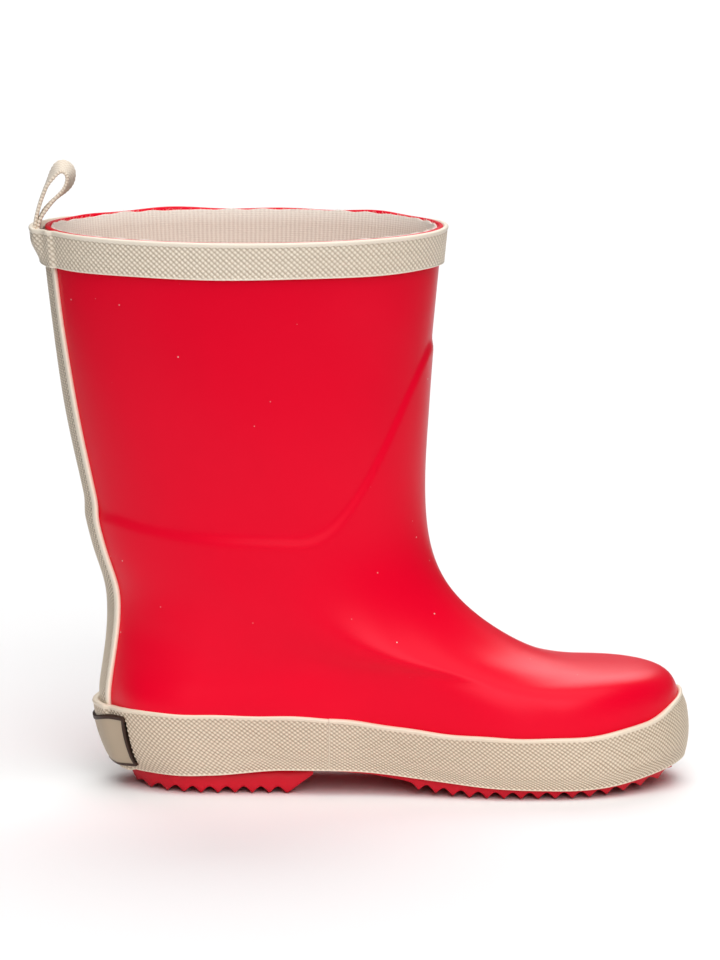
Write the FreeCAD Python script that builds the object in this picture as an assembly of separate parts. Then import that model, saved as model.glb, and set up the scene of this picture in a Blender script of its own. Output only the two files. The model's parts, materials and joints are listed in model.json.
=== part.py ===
import FreeCAD, Part
import math
import os

# Child's rubber rain boot, right foot, millimetres.
# +X points to the toe, +Z up, -Y is the outer (little toe) side; z = 0 is the ground.

V = FreeCAD.Vector

# ---- driving dimensions -------------------------------------------------------------------
boot_height = 181.5        # ground to the top edge of the upper
toe_x = 101.2              # upper at the tip of the toe, bottom edge
heel_x = -76.6             # upper at the back of the heel, bottom edge
ball_half_width = 33.5     # upper at the ball of the foot, bottom edge
ankle_half_width = 28.9    # half-width over the ankle, which the instep's width runs up to
heel_half_width = 25.0
shaft_half_width = 39.8    # at the top edge

upper_thickness = 1.6
lining_thickness = 1.2
layer_thickness = 0.7      # rubberised fabric between lining and upper
tape_thickness = 1.2       # back strip
band_thickness = 1.5       # collar band
foxing_thickness = 2.0
label_thickness = 0.8
glue = 0.08                # film of cement left between two pieces

band_height = 11.5
back_strip_half_width = 12.5
label_half_width = 21.6
label_taper = 0.125        # how much shorter the label is at its foot
foxing_joint_x = -9.8      # where the two foxing strips butt, both sides
butt_gap = 0.4

layer_height_back = 84.0   # height of the reinforcement's top edge over heel and ankle
layer_height_front = 141.0 # height of its tongue on the shin

tooth_pitch = 5.5
tooth_depth = 2.1
tooth_flat = 0.8
heel_height = 7.0
sole_sheet = 3.0           # outsole between the foxing's bottom edge and the upper
board_thickness = 1.4
insole_thickness = 3.0
board_clearance = 0.6      # between the board or filler and the lining round it
insole_clearance = 0.4

webbing_width = 11.0
webbing_thickness = 1.1
loop_height = 20.0
loop_gap = 5.8
loop_lean = 28.0           # degrees, towards the toe


# ---- curves over the length of the sole ---------------------------------------------------
def curve_over_x(points):
    """Smooth curve through (x, z) points, read as z at an x."""
    line = Part.BSplineCurve()
    line.interpolate(Points=[V(x, 0, z) for x, z in points], Parameters=[x for x, z in points])

    def height(x):
        x = min(max(x, points[0][0]), points[-1][0])
        return line.value(x).z
    return height


# bottom and top edge of the foxing, and how thick the filler is under the board
floor_z = curve_over_x([(-90, heel_height), (-45, heel_height), (-10, 7.2), (6, 6.6), (20, 4.9),
                        (38, 2.7), (58, 1.8), (70, 1.7), (80, 2.4), (90, 4.2), (99, 6.1), (110, 9.4)])
foxing_top_z = curve_over_x([(-92, 28.0), (-70, 27.3), (-45, 27.0), (-10, 25.6), (15, 23.2),
                             (35, 21.2), (52, 20.3), (70, 20.8), (90, 23.4), (110, 29.5)])
filler_thickness = curve_over_x([(-90, 3.2), (-40, 3.2), (0, 2.4), (30, 1.6), (110, 1.4)])
tread_z = curve_over_x([(-90, 0), (0, 3.4), (18, 2.0), (28, 0.6), (40, 0), (58, 0), (72, 0),
                        (84, 0.9), (94, 2.4), (103, 5.0), (110, 7.4)])


def feather_z(x):
    return floor_z(x) + sole_sheet


def board_z(x):
    return feather_z(x) + filler_thickness(x)


# ---- outer skin of the upper --------------------------------------------------------------
# One ring per level: back x and z, front x and z, half-widths at heel, waist and ball,
# radius that rounds the back, radius that rounds the front, and how far the ring dips at
# the ball.  Rings of the sole follow floor_z and foxing_top_z instead of a straight line.
def skin_rings():
    top_z = boot_height
    rings = []
    rings.append((heel_x + 5.0, -2, toe_x - 6, -2, heel_half_width - 2, 21.5,
                  ball_half_width - 2.5, 25, 42, 0))
    rings.append((heel_x + 0.9, 0, toe_x, 0, heel_half_width, 23.5, ball_half_width, 26, 42, 0))
    rings.append((heel_x - 3.7, 0, toe_x + 2.2, 0, heel_half_width + 1.2, 24.6,
                  ball_half_width + 1.4, 27, 41, 0))
    rings.append((heel_x - 5.9, 0, toe_x + 1.1, 0, heel_half_width + 1.7, 25.4,
                  ball_half_width + 1.5, 28, 40, 0))
    rings.append((-82.1, 35.5, toe_x - 3, 35.2, 27.2, 26.2, ball_half_width + 0.6, 30, 38, 5.5))
    rings.append((-81.0, 43, 85, 38.6, 27.6, 27.0, ball_half_width - 1.8, 32, 46, 3.5))
    rings.append((-80.1, 51, 65, 40.3, 28.2, 28.2, ball_half_width - 1.9, 36, 52, 1))
    rings.append((-79.9, 58.5, 44.8, 48.3, 29, 29.8, (ball_half_width + ankle_half_width) / 2, 40, 54, 0))
    rings.append((-81.0, 66.5, 31.3, 59.2, 30, 31.0, 31.0, 46, 54, 0))
    rings.append((-84.6, 77.5, 23.4, 72.0, 31.5, 31.8, 31.6, 52, 54, 0))
    rings.append((-88.1, 94, 20.2, 91.7, 33.0, 33.0, 33.0, 54, 54, 0))
    rings.append((-93.0, 118, 21.3, 117.8, 35.5, 35.5, 35.5, 57, 57, 0))
    rings.append((-97.2, 144, 23.0, 144.0, 37.5, 37.5, 37.5, 60, 60, 0))
    rings.append((-99.7, top_z - 17, 24.9, top_z - 17, 38.8, 38.8, 38.8, 62, 62, 0))
    rings.append((-101.4, top_z, 26.6, top_z, 39.8, 39.8, shaft_half_width, 64, 64, 0))
    return rings


RINGS = skin_rings()
FLOOR_RING = 1
FOXING_TOP_RING = 3


def ease(q):
    """0 below 0, 1 above 1, smooth between."""
    q = min(max(q, 0.0), 1.0)
    return q * q * (3 - 2 * q)


def rounding(distance, radius):
    """Half-width factor near the end of a ring: a circle that becomes straight."""
    q = min(max(distance / radius, 0.0), 1.0)
    return math.sqrt(max(0.0, 1 - (1 - q) ** 2))


def ring_point(k, u):
    """Point of ring k; u runs 0 at the back, 0.25 outer side, 0.5 front, 0.75 inner side."""
    bx, bz, fx, fz, w_heel, w_waist, w_ball, r_back, r_front, dip = RINGS[k]
    length = fx - bx
    s = (1 - math.cos(2 * math.pi * u)) / 2
    x = bx + length * s
    if s < 0.42:
        width = w_heel + (w_waist - w_heel) * ease(s / 0.42)
    else:
        width = w_waist + (w_ball - w_waist) * ease((s - 0.42) / 0.32)
    width = width * rounding(x - bx, r_back) * rounding(fx - x, r_front)
    foot = 1 - ease((k - 3) / 5.0)
    inner = math.sin(2 * math.pi * u) < 0
    swing = foot * (3.2 * ease((x - 10) / 95.0) - 1.4 * math.exp(-((x + 5) / 26.0) ** 2))
    if inner:
        width = width - foot * 2.0 * math.exp(-((x + 2) / 24.0) ** 2)
    side = math.sin(2 * math.pi * u)
    y = -width if side >= 0 else width
    y = y + swing * (1 - (1 - s) ** 8)
    if k == 0:
        z = -2.0
    elif k == 1:
        z = floor_z(x)
    elif k == 2:
        z = (floor_z(x) + foxing_top_z(x)) / 2
    elif k == 3:
        z = foxing_top_z(x)
    else:
        z = bz + (fz - bz) * s - dip * math.exp(-((x - 52) / 26.0) ** 2)
    return V(x, y, z)


def ring_levels():
    """Mean distance walked up the skin, ring by ring; t is measured in these millimetres."""
    levels = [0.0]
    for k in range(1, len(RINGS)):
        walk = 0.0
        for i in range(24):
            walk = walk + ring_point(k, i / 24).distanceToPoint(ring_point(k - 1, i / 24))
        levels.append(levels[-1] + walk / 24)
    return levels


LEVELS = ring_levels()
T_TOP = LEVELS[-1]
T_FLOOR = LEVELS[FLOOR_RING]
T_FOXING = LEVELS[FOXING_TOP_RING]
RIBS = {}


def rib(u):
    """Curve up the skin at one u."""
    key = round(u % 1.0, 7)
    if key not in RIBS:
        line = Part.BSplineCurve()
        line.interpolate(Points=[ring_point(k, key) for k in range(len(RINGS))], Parameters=LEVELS)
        RIBS[key] = line
    return RIBS[key]


def skin(u, t, d=0.0):
    """Point on the skin moved out along its normal by d; above the top it runs straight on."""
    line = rib(u)
    level = min(t, T_TOP)
    p = line.value(level)
    up = V(line.tangent(level)[0])
    step = 0.0015
    along = rib(u + step).value(level) - rib(u - step).value(level)
    out = along.cross(up)
    out.normalize()
    return p + up * (t - level) + out * d


def level_at_height(u, z):
    """t at which the rib at u reaches a height."""
    low, high = 0.0, T_TOP
    line = rib(u)
    for i in range(40):
        mid = (low + high) / 2
        if line.value(mid).z < z:
            low = mid
        else:
            high = mid
    return (low + high) / 2


def level_of_curve(u, height):
    """t at which the rib at u crosses a curve given as a height over x."""
    line = rib(u)
    low, high = 0.0, LEVELS[FOXING_TOP_RING + 1]
    for i in range(40):
        mid = (low + high) / 2
        p = line.value(mid)
        if p.z < height(p.x):
            low = mid
        else:
            high = mid
    return (low + high) / 2


def back_speed(t):
    """Millimetres of arc per unit of u at the back of the boot."""
    return skin(0.003, t).distanceToPoint(skin(-0.003, t)) / 0.006


def back_arc(u, t):
    """Distance round the back from the seam line."""
    near = u - round(u)
    return near * back_speed(t)


# ---- thickness laws -----------------------------------------------------------------------
def layer_edge(u):
    """t of the reinforcement's top edge: level round the ankle, a tongue up the shin."""
    q = min(abs(u - round(u)), 0.5)
    rise = math.sin(math.pi / 2 * min(max((q - 0.285) / 0.20, 0), 1)) ** 2.25
    low = level_at_height(0.15, layer_height_back) - 1.2
    high = level_at_height(0.5, layer_height_front)
    lift_at_back = 3.5 * min(max((0.23 - q) / 0.135, 0), 1) ** 2
    return low + lift_at_back + (high - low) * rise


EDGE_TABLE = {}


def layer_bump(u, t):
    """How far the upper stands out over the reinforcement under it."""
    key = round(u, 6)
    if key not in EDGE_TABLE:
        EDGE_TABLE[key] = layer_edge(u)
    return (layer_thickness + glue) * ease((EDGE_TABLE[key] + 7 - t) / 6.0)


def strip_bump(u, t):
    """How far a piece stands out where it crosses the back strip."""
    reach = back_strip_half_width + 3.0
    return (tape_thickness + glue) * ease((reach - abs(back_arc(u, t))) / 3.0)


def tails_bump(u, t):
    """How far the collar band stands out over the webbing ends."""
    reach = webbing_width / 2 + 5.0
    side = ease((reach - abs(back_arc(u, t))) / 4.4)
    low = ease((t - (T_TOP - band_height)) / 2.6)
    return (2 * webbing_thickness + glue) * side * low


# ---- building solids ----------------------------------------------------------------------
def spline_face(grid, us, vs):
    """Face through a grid of points, rows along v, columns along u."""
    rows = []
    for row in grid:
        line = Part.BSplineCurve()
        line.interpolate(Points=row, Parameters=us)
        rows.append(line)
    u_mults = rows[0].getMultiplicities()
    u_knots = rows[0].getKnots()
    columns = []
    for j in range(rows[0].NbPoles):
        column = [line.getPole(j + 1) for line in rows]
        if len(vs) == 2:
            columns.append(column)
            continue
        line = Part.BSplineCurve()
        line.interpolate(Points=column, Parameters=vs)
        columns.append(line.getPoles())
    if len(vs) == 2:
        v_mults, v_knots, v_degree = [2, 2], [vs[0], vs[1]], 1
    else:
        v_mults, v_knots, v_degree = line.getMultiplicities(), line.getKnots(), 3
    surface = Part.BSplineSurface()
    surface.buildFromPolesMultsKnots(columns, u_mults, v_mults, u_knots, v_knots,
                                     False, False, 3, v_degree)
    return surface.toShape()


def solid_of(faces):
    shape = Part.Compound(faces)
    shape.sewShape(0.005)
    solid = Part.Solid(shape.Shells[0])
    if solid.Volume < 0:
        solid.reverse()
    if not solid.isValid():
        solid.fix(0.001, 0.001, 0.01)
    return solid


def sheet(us, rows, low, high, inner, outer, at=None):
    """Curved sheet on the skin between t = low(u) and high(u), from offset inner to outer."""
    vs = [i / rows for i in range(rows + 1)]
    turn = at or (lambda u, t: u)
    grids = []
    for law in (inner, outer):
        grid = []
        for v in vs:
            row = []
            for u in us:
                t = low(u) + (high(u) - low(u)) * v
                w = turn(u, t)
                row.append(skin(w, t, law(w, t)))
            grid.append(row)
        grids.append(grid)
    inside, outside = grids
    faces = [spline_face(inside, us, vs), spline_face(outside, us, vs)]
    faces.append(spline_face([inside[0], outside[0]], us, [0.0, 1.0]))
    faces.append(spline_face([inside[-1], outside[-1]], us, [0.0, 1.0]))
    ends = []
    for i in (0, -1):
        column_in = [row[i] for row in inside]
        column_out = [row[i] for row in outside]
        ends.append(spline_face([column_in, column_out], vs, [0.0, 1.0]))
    return faces, ends


def ring_sheet(breaks, rows, low, high, inner, outer):
    """Sheet that runs right round the boot, made in spans between breaks."""
    faces = []
    for us in breaks:
        faces = faces + sheet(us, rows, low, high, inner, outer)[0]
    return solid_of(faces)


def panel(us, rows, low, high, inner, outer, at=None):
    faces, ends = sheet(us, rows, low, high, inner, outer, at)
    return solid_of(faces + ends)


def spaced(a, b, n):
    return [a + (b - a) * i / n for i in range(n + 1)]


def round_the_boot(fine):
    """Two half turns of u; fine adds stations near the back seam."""
    half = spaced(0, 0.08, fine) + spaced(0.08, 0.5, 20)[1:]
    other = [1 - u for u in reversed(half)]
    return [half, other]


# ---- the wall of the boot -----------------------------------------------------------------
def feather_level(u):
    return level_of_curve(u, feather_z)


def constant(value):
    return lambda *any_place: value


def make_upper():
    low = feather_level
    high = constant(T_TOP)
    outer = lambda u, t: layer_bump(u, t)
    inner = lambda u, t: layer_bump(u, t) - upper_thickness
    return ring_sheet(round_the_boot(6), 60, low, high, inner, outer)


LAYER_OUT = -(upper_thickness + glue)


def layer_offsets():
    """Offsets of the reinforcement layer, inner face and outer face."""
    return constant(LAYER_OUT), constant(LAYER_OUT + layer_thickness)


LAYER_SPLIT = (LEVELS[5] + LEVELS[6]) / 2


def make_ankle_reinforcement():
    inner, outer = layer_offsets()
    low = constant(LAYER_SPLIT + butt_gap)
    return ring_sheet(round_the_boot(4), 20, low, layer_edge, inner, outer)


def make_toe_reinforcement():
    inner, outer = layer_offsets()
    return panel(spaced(0.29, 0.71, 28), 10, feather_level, constant(LAYER_SPLIT), inner, outer)


def make_heel_counter():
    inner, outer = layer_offsets()
    gap = butt_gap / 560
    return panel(spaced(-0.29 + gap, 0.29 - gap, 36), 10, feather_level, constant(LAYER_SPLIT),
                 inner, outer)


LINING_OUT = LAYER_OUT - glue
LINING_IN = LINING_OUT - lining_thickness


def make_lining():
    low = feather_level
    high = constant(T_TOP + 0.4)
    return ring_sheet(round_the_boot(4), 26, low, high, constant(LINING_IN), constant(LINING_OUT))


def make_back_strip():
    width = back_strip_half_width

    def at(a, t):
        return a / back_speed(t)
    low = constant(T_FLOOR + sole_sheet + 1.5)
    return panel(spaced(-width, width, 8), 40, low, constant(T_TOP),
                 lambda u, t: layer_bump(u, t) + glue,
                 lambda u, t: layer_bump(u, t) + glue + tape_thickness, at)


def make_pull_loop_tails():
    def at(a, t):
        return a / back_speed(t)
    half = webbing_width / 2
    base = 2 * glue + tape_thickness
    return panel(spaced(-half, half, 4), 6, constant(T_TOP - band_height + 3), constant(T_TOP - 0.2),
                 constant(base), constant(base + 2 * webbing_thickness), at)


def make_collar_band():
    def inner(u, t):
        return glue + strip_bump(u, t) + tails_bump(u, t)

    def outer(u, t):
        return inner(u, t) + band_thickness
    return ring_sheet(round_the_boot(20), 10, constant(T_TOP - band_height), constant(T_TOP + 0.5),
                      inner, outer)


# ---- foxing and label ---------------------------------------------------------------------
def foxing_inner(u, t):
    return glue + layer_thickness + glue + strip_bump(u, t)


def foxing_outer(u, t):
    return foxing_inner(u, t) + foxing_thickness


def joint_turn():
    """u of the butt joint between the two foxing strips."""
    bx, fx = RINGS[2][0], RINGS[2][2]
    s = (foxing_joint_x - bx) / (fx - bx)
    return math.acos(1 - 2 * s) / (2 * math.pi)


def make_foxing_heel_strip():
    end = joint_turn()
    us = spaced(-end, -0.075, 8) + spaced(-0.075, 0.075, 36)[1:] + spaced(0.075, end, 8)[1:]
    return panel(us, 8, constant(T_FLOOR), constant(T_FOXING), foxing_inner, foxing_outer)


def make_foxing_toe_strip():
    start = joint_turn() + butt_gap / 560
    return panel(spaced(start, 1 - start, 40), 8, constant(T_FLOOR), constant(T_FOXING),
                 foxing_inner, foxing_outer)


def make_heel_label():
    def at(a, t):
        shrink = 1 - label_taper * (T_FOXING - t) / (T_FOXING - T_FLOOR)
        return a * shrink / back_speed(t)

    def inner(u, t):
        return foxing_outer(u, t) + glue

    def outer(u, t):
        return inner(u, t) + label_thickness
    width = label_half_width
    return panel(spaced(-width, width, 40), 6, constant(T_FLOOR + 2.2), constant(T_FOXING - 2.4),
                 inner, outer, at)


# ---- the sole -----------------------------------------------------------------------------
def plug(d, levels):
    """Solid with the outline of the boot moved in by d, between flat cuts at given heights."""
    wires = []
    for z in levels:
        points = []
        for i in range(48):
            u = i / 48
            t = level_at_height(u, z)
            p = skin(u, t, d)
            points.append(V(p.x, p.y, z))
        line = Part.BSplineCurve()
        line.interpolate(Points=points, PeriodicFlag=True, Parameters=spaced(0, 1, 48))
        wires.append(Part.Wire(line.toShape()))
    return Part.makeLoft(wires, True, False)


def slab(x0, x1, bottom, top, half=60.0):
    """Block across the boot between two curves over x; a list gives a bottom drawn in lines."""
    n = 24
    xs = spaced(x0, x1, n)
    top_line = Part.BSplineCurve()
    top_line.interpolate([V(x, -half, top(x)) for x in xs])
    if callable(bottom):
        low_line = Part.BSplineCurve()
        low_line.interpolate([V(x, -half, bottom(x)) for x in xs])
        low_edges = [low_line.toShape()]
        start, end = V(x0, -half, bottom(x0)), V(x1, -half, bottom(x1))
    else:
        low_edges = []
        for a, b in zip(bottom, bottom[1:]):
            low_edges.append(Part.makeLine(V(a[0], -half, a[1]), V(b[0], -half, b[1])))
        start, end = V(x0, -half, bottom[0][1]), V(x1, -half, bottom[-1][1])
    edges = low_edges + [Part.makeLine(end, V(x1, -half, top(x1))), top_line.toShape(),
                         Part.makeLine(V(x0, -half, top(x0)), start)]
    wire = Part.Wire(Part.__sortEdges__(edges))
    return Part.Face(wire).extrude(V(0, 2 * half, 0))


def ridges(x_first, count, z_of):
    """Zigzag of cross ridges with a small flat on each crest."""
    line = []
    for i in range(count):
        x = x_first + i * tooth_pitch
        z = z_of(x)
        line.append((x - tooth_pitch / 2, z_of(x - tooth_pitch / 2) + tooth_depth))
        line.append((x - tooth_flat / 2, z))
        line.append((x + tooth_flat / 2, z))
    x = x_first + (count - 0.5) * tooth_pitch
    line.append((x, z_of(x) + tooth_depth))
    return line


def flat_crests(z_of):
    """Crests between the arch and the start of the toe spring stand on the ground."""
    return lambda x: 0.0 if abs(z_of(x)) < 0.02 or 34 < x < 76 else z_of(x)


def make_outsole():
    outline = plug(-glue, [-1.5, 1, 4, 7, 10, 14, 18])
    tread = ridges(19.0, 16, flat_crests(tread_z))
    bottom = [(-90, heel_height), (-12, heel_height), (4, 5.9), (14, 4.6)] + tread + [(112, 9.0)]
    body = slab(-90, 112, bottom, lambda x: feather_z(x) - glue)
    return body.common(outline)


def make_heel_block():
    outline = plug(-glue, [-1.5, 1, 4, 7, 10])
    tread = ridges(-73.0, 10, constant(0.0))
    bottom = [(-90, tooth_depth), (tread[0][0], tooth_depth)] + tread[1:-1]
    breast = tread[-2][0]
    bottom.append((breast + 8.5, heel_height - glue))
    points = bottom + [(-90, heel_height - glue)]
    edges = []
    for a, b in zip(points, points[1:] + points[:1]):
        edges.append(Part.makeLine(V(a[0], -60, a[1]), V(b[0], -60, b[1])))
    body = Part.Face(Part.Wire(edges)).extrude(V(0, 120, 0))
    return body.common(outline)


INNER = LINING_IN - board_clearance


def make_shank():
    """Steel strip under the arch, bowed with the board above it."""
    top = lambda x: board_z(x) - glue
    bottom = lambda x: board_z(x) - glue - 1.1
    return slab(-48, 26, bottom, top, 7.0)


def make_sole_filler():
    outline = plug(INNER, [2, 5, 8, 11, 14, 18])
    body = slab(-88, 108, lambda x: feather_z(x) + 0.0, lambda x: board_z(x) - glue)
    seat = slab(-48.2, 26.2, lambda x: board_z(x) - glue - 1.2, lambda x: board_z(x) + 2, 7.2)
    return body.common(outline).cut(seat)


def make_insole_board():
    outline = plug(INNER, [4, 8, 12, 16, 20])
    return slab(-88, 108, board_z, lambda x: board_z(x) + board_thickness).common(outline)


def make_insole():
    outline = plug(INNER - insole_clearance, [5, 9, 13, 17, 21, 25])
    low = lambda x: board_z(x) + board_thickness + insole_clearance
    return slab(-88, 108, low, lambda x: low(x) + insole_thickness).common(outline)


# ---- pull loop ----------------------------------------------------------------------------
def loop_axis():
    """Line the free webbing bends about, just above the collar at the back."""
    base = 2 * glue + tape_thickness + webbing_thickness
    p = skin(0, T_TOP + 0.5, base)
    return V(p.x, 0, p.z + webbing_thickness + 0.65)


def make_pull_loop():
    """Webbing teardrop standing on two legs that lie together at the foot."""
    axis = loop_axis()
    t = webbing_thickness
    h = loop_height
    g = loop_gap / 2

    def outline(grow):
        """Closed teardrop, foot at the axis; grow moves it out from the inner gap."""
        foot = 6.2 - grow * 1.6
        points = [V(0, 0, foot), V(-(g * 0.8 + grow), 0, 11.0), V(-(g + grow), 0, 14.6),
                  V(0, 0, h - t + grow), V(g + grow, 0, 14.6), V(g * 0.8 + grow, 0, 11.0)]
        line = Part.BSplineCurve()
        line.interpolate(Points=[points[0]] + points[1:] + [points[0]])
        return Part.Face(Part.Wire(line.toShape()))
    ring = outline(t).extrude(V(0, webbing_width, 0)).cut(outline(0).extrude(V(0, webbing_width, 0)))
    foot = Part.makeBox(2 * t, webbing_width, 7.0, V(-t, 0, 0))
    round_end = Part.makeCylinder(t, webbing_width, V(0, 0, 0), V(0, 1, 0))
    shape = ring.fuse([foot.cut(outline(0).extrude(V(0, webbing_width, 0))), round_end]).removeSplitter()
    shape.translate(V(0, -webbing_width / 2, 0))
    shape.rotate(V(0, 0, 0), V(0, 1, 0), loop_lean)
    shape.translate(axis)
    return shape


# ---- write the pieces ---------------------------------------------------------------------
pieces = {
    "upper": make_upper(),
    "lining": make_lining(),
    "ankle_reinforcement": make_ankle_reinforcement(),
    "toe_reinforcement": make_toe_reinforcement(),
    "heel_counter": make_heel_counter(),
    "back_strip": make_back_strip(),
    "pull_loop_tails": make_pull_loop_tails(),
    "collar_band": make_collar_band(),
    "foxing_heel_strip": make_foxing_heel_strip(),
    "foxing_toe_strip": make_foxing_toe_strip(),
    "heel_label": make_heel_label(),
    "outsole": make_outsole(),
    "heel_block": make_heel_block(),
    "shank": make_shank(),
    "sole_filler": make_sole_filler(),
    "insole_board": make_insole_board(),
    "insole": make_insole(),
    "pull_loop": make_pull_loop(),
}

box = Part.Compound(list(pieces.values())).optimalBoundingBox(False, False)
centre = V(-(box.XMin + box.XMax) / 2, -(box.YMin + box.YMax) / 2, -box.ZMin)
os.makedirs("parts", exist_ok=True)
for name, shape in pieces.items():
    shape.translate(centre)
    shape.exportStep("parts/" + name + ".step")
    b = shape.optimalBoundingBox(False, False)
    print(name, shape.isValid(), len(shape.Solids), round(shape.Volume), [round(q, 1) for q in
          (b.XMin, b.XMax, b.YMin, b.YMax, b.ZMin, b.ZMax)])
print("shift", [round(q, 3) for q in centre], "size", box.XLength, box.YLength, box.ZLength)
axis = loop_axis() + centre
print("loop axis", [round(q, 4) for q in axis])
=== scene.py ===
import bpy
import json
import math
import numpy as np
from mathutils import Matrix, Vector


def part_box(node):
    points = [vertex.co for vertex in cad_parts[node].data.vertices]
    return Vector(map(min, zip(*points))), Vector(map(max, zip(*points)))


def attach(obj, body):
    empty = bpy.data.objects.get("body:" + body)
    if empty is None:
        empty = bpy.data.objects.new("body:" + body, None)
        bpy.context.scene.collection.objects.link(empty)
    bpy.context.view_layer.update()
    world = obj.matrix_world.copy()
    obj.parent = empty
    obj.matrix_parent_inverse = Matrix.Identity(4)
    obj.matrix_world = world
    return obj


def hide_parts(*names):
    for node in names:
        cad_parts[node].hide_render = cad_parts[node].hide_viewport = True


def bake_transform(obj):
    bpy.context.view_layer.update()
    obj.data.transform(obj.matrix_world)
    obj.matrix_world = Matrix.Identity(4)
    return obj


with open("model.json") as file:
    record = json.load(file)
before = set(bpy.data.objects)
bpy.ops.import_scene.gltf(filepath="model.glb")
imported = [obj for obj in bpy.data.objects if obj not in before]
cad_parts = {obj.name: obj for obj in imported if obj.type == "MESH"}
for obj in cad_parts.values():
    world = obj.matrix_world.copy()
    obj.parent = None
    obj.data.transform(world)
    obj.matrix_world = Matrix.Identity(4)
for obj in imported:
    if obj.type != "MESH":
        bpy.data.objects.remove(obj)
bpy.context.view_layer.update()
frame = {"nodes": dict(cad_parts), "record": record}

# ---- upper --------------------------------------------------------------------------------
# One calendered skin of red rubber over the whole foot and shaft, 1.6 mm thick, cured on the
# last over everything inside it, so the edge of the layer beneath shows as a low step.

# The last is a row of rings from under the sole to the top edge, in millimetres; meshes are
# written in metres.  u runs once round the boot from the back seam (0.25 outer side, 0.5 toe,
# 0.75 inner side) and t is the distance walked up the skin.
MM = 0.001
HEEL_X = -76.6
TOE_X = 101.2
TOP_Z = 181.5
BALL = 33.5
HEEL = 25.0
ANKLE = 28.9


def smooth_slopes(knots):
    """Matrix that turns values at knots into slopes of the smooth curve through them."""
    n = len(knots)
    a = np.zeros((n, n))
    b = np.zeros((n, n))
    for k in range(1, n - 1):
        left, right = knots[k] - knots[k - 1], knots[k + 1] - knots[k]
        a[k, k - 1], a[k, k], a[k, k + 1] = 1 / left, 2 / left + 2 / right, 1 / right
        b[k, k - 1] = -3 / left ** 2
        b[k, k] = 3 / left ** 2 - 3 / right ** 2
        b[k, k + 1] = 3 / right ** 2
    for row, near in ((0, range(4)), (n - 1, range(n - 4, n))):
        a[row, row] = 1
        x0 = knots[row]
        for j in near:
            others = [m for m in near if m != j]
            bottom = np.prod([knots[j] - knots[m] for m in others])
            top = 0.0
            for skip in others:
                top += np.prod([x0 - knots[m] for m in others if m != skip])
            b[row, j] = top / bottom
    return np.linalg.solve(a, b)


def hermite(knots, values, slopes, x):
    """Smooth curve read at x; values and slopes are (knots, points, ...)."""
    k = np.clip(np.searchsorted(knots, x, side="right") - 1, 0, len(knots) - 2)
    span = knots[k + 1] - knots[k]
    s = (x - knots[k]) / span
    i = np.arange(len(x))
    if values.ndim == 1:
        p0, p1, m0, m1 = values[k], values[k + 1], slopes[k] * span, slopes[k + 1] * span
    else:
        p0, p1 = values[k, i], values[k + 1, i]
        m0, m1 = slopes[k, i] * span[:, None], slopes[k + 1, i] * span[:, None]
        s, span = s[:, None], span[:, None]
    point = ((2 * s ** 3 - 3 * s ** 2 + 1) * p0 + (s ** 3 - 2 * s ** 2 + s) * m0
             + (3 * s ** 2 - 2 * s ** 3) * p1 + (s ** 3 - s ** 2) * m1)
    rise = ((6 * s ** 2 - 6 * s) * p0 + (3 * s ** 2 - 4 * s + 1) * m0
            + (6 * s - 6 * s ** 2) * p1 + (3 * s ** 2 - 2 * s) * m1) / span
    return point, rise


def over_x(pairs):
    """Height as a smooth curve over the boot's length."""
    xs = np.array([x for x, z in pairs], float)
    zs = np.array([z for x, z in pairs], float)
    slopes = smooth_slopes(xs) @ zs
    return lambda x: hermite(xs, zs, slopes, np.clip(np.ravel(x), xs[0], xs[-1]))[0].reshape(np.shape(x))


floor_z = over_x([(-90, 7), (-45, 7), (-10, 7.2), (6, 6.6), (20, 4.9), (38, 2.7), (58, 1.8),
                  (70, 1.7), (80, 2.4), (90, 4.2), (99, 6.1), (110, 9.4)])
foxing_top_z = over_x([(-92, 28), (-70, 27.3), (-45, 27), (-10, 25.6), (15, 23.2), (35, 21.2),
                       (52, 20.3), (70, 20.8), (90, 23.4), (110, 29.5)])

# back x, z, front x, z, half-widths at heel, waist, ball, rounding radii, dip at the ball
RINGS = [
    (HEEL_X + 5.0, -2, TOE_X - 6, -2, HEEL - 2, 21.5, BALL - 2.5, 25, 42, 0),
    (HEEL_X + 0.9, 0, TOE_X, 0, HEEL, 23.5, BALL, 26, 42, 0),
    (HEEL_X - 3.7, 0, TOE_X + 2.2, 0, HEEL + 1.2, 24.6, BALL + 1.4, 27, 41, 0),
    (HEEL_X - 5.9, 0, TOE_X + 1.1, 0, HEEL + 1.7, 25.4, BALL + 1.5, 28, 40, 0),
    (-82.1, 35.5, TOE_X - 3, 35.2, 27.2, 26.2, BALL + 0.6, 30, 38, 5.5),
    (-81.0, 43, 85, 38.6, 27.6, 27.0, BALL - 1.8, 32, 46, 3.5),
    (-80.1, 51, 65, 40.3, 28.2, 28.2, BALL - 1.9, 36, 52, 1),
    (-79.9, 58.5, 44.8, 48.3, 29, 29.8, (BALL + ANKLE) / 2, 40, 54, 0),
    (-81.0, 66.5, 31.3, 59.2, 30, 31.0, 31.0, 46, 54, 0),
    (-84.6, 77.5, 23.4, 72.0, 31.5, 31.8, 31.6, 52, 54, 0),
    (-88.1, 94, 20.2, 91.7, 33.0, 33.0, 33.0, 54, 54, 0),
    (-93.0, 118, 21.3, 117.8, 35.5, 35.5, 35.5, 57, 57, 0),
    (-97.2, 144, 23.0, 144.0, 37.5, 37.5, 37.5, 60, 60, 0),
    (-99.7, TOP_Z - 17, 24.9, TOP_Z - 17, 38.8, 38.8, 38.8, 62, 62, 0),
    (-101.4, TOP_Z, 26.6, TOP_Z, 39.8, 39.8, 39.8, 64, 64, 0),
]


def ease(q):
    q = np.clip(q, 0.0, 1.0)
    return q * q * (3 - 2 * q)


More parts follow.
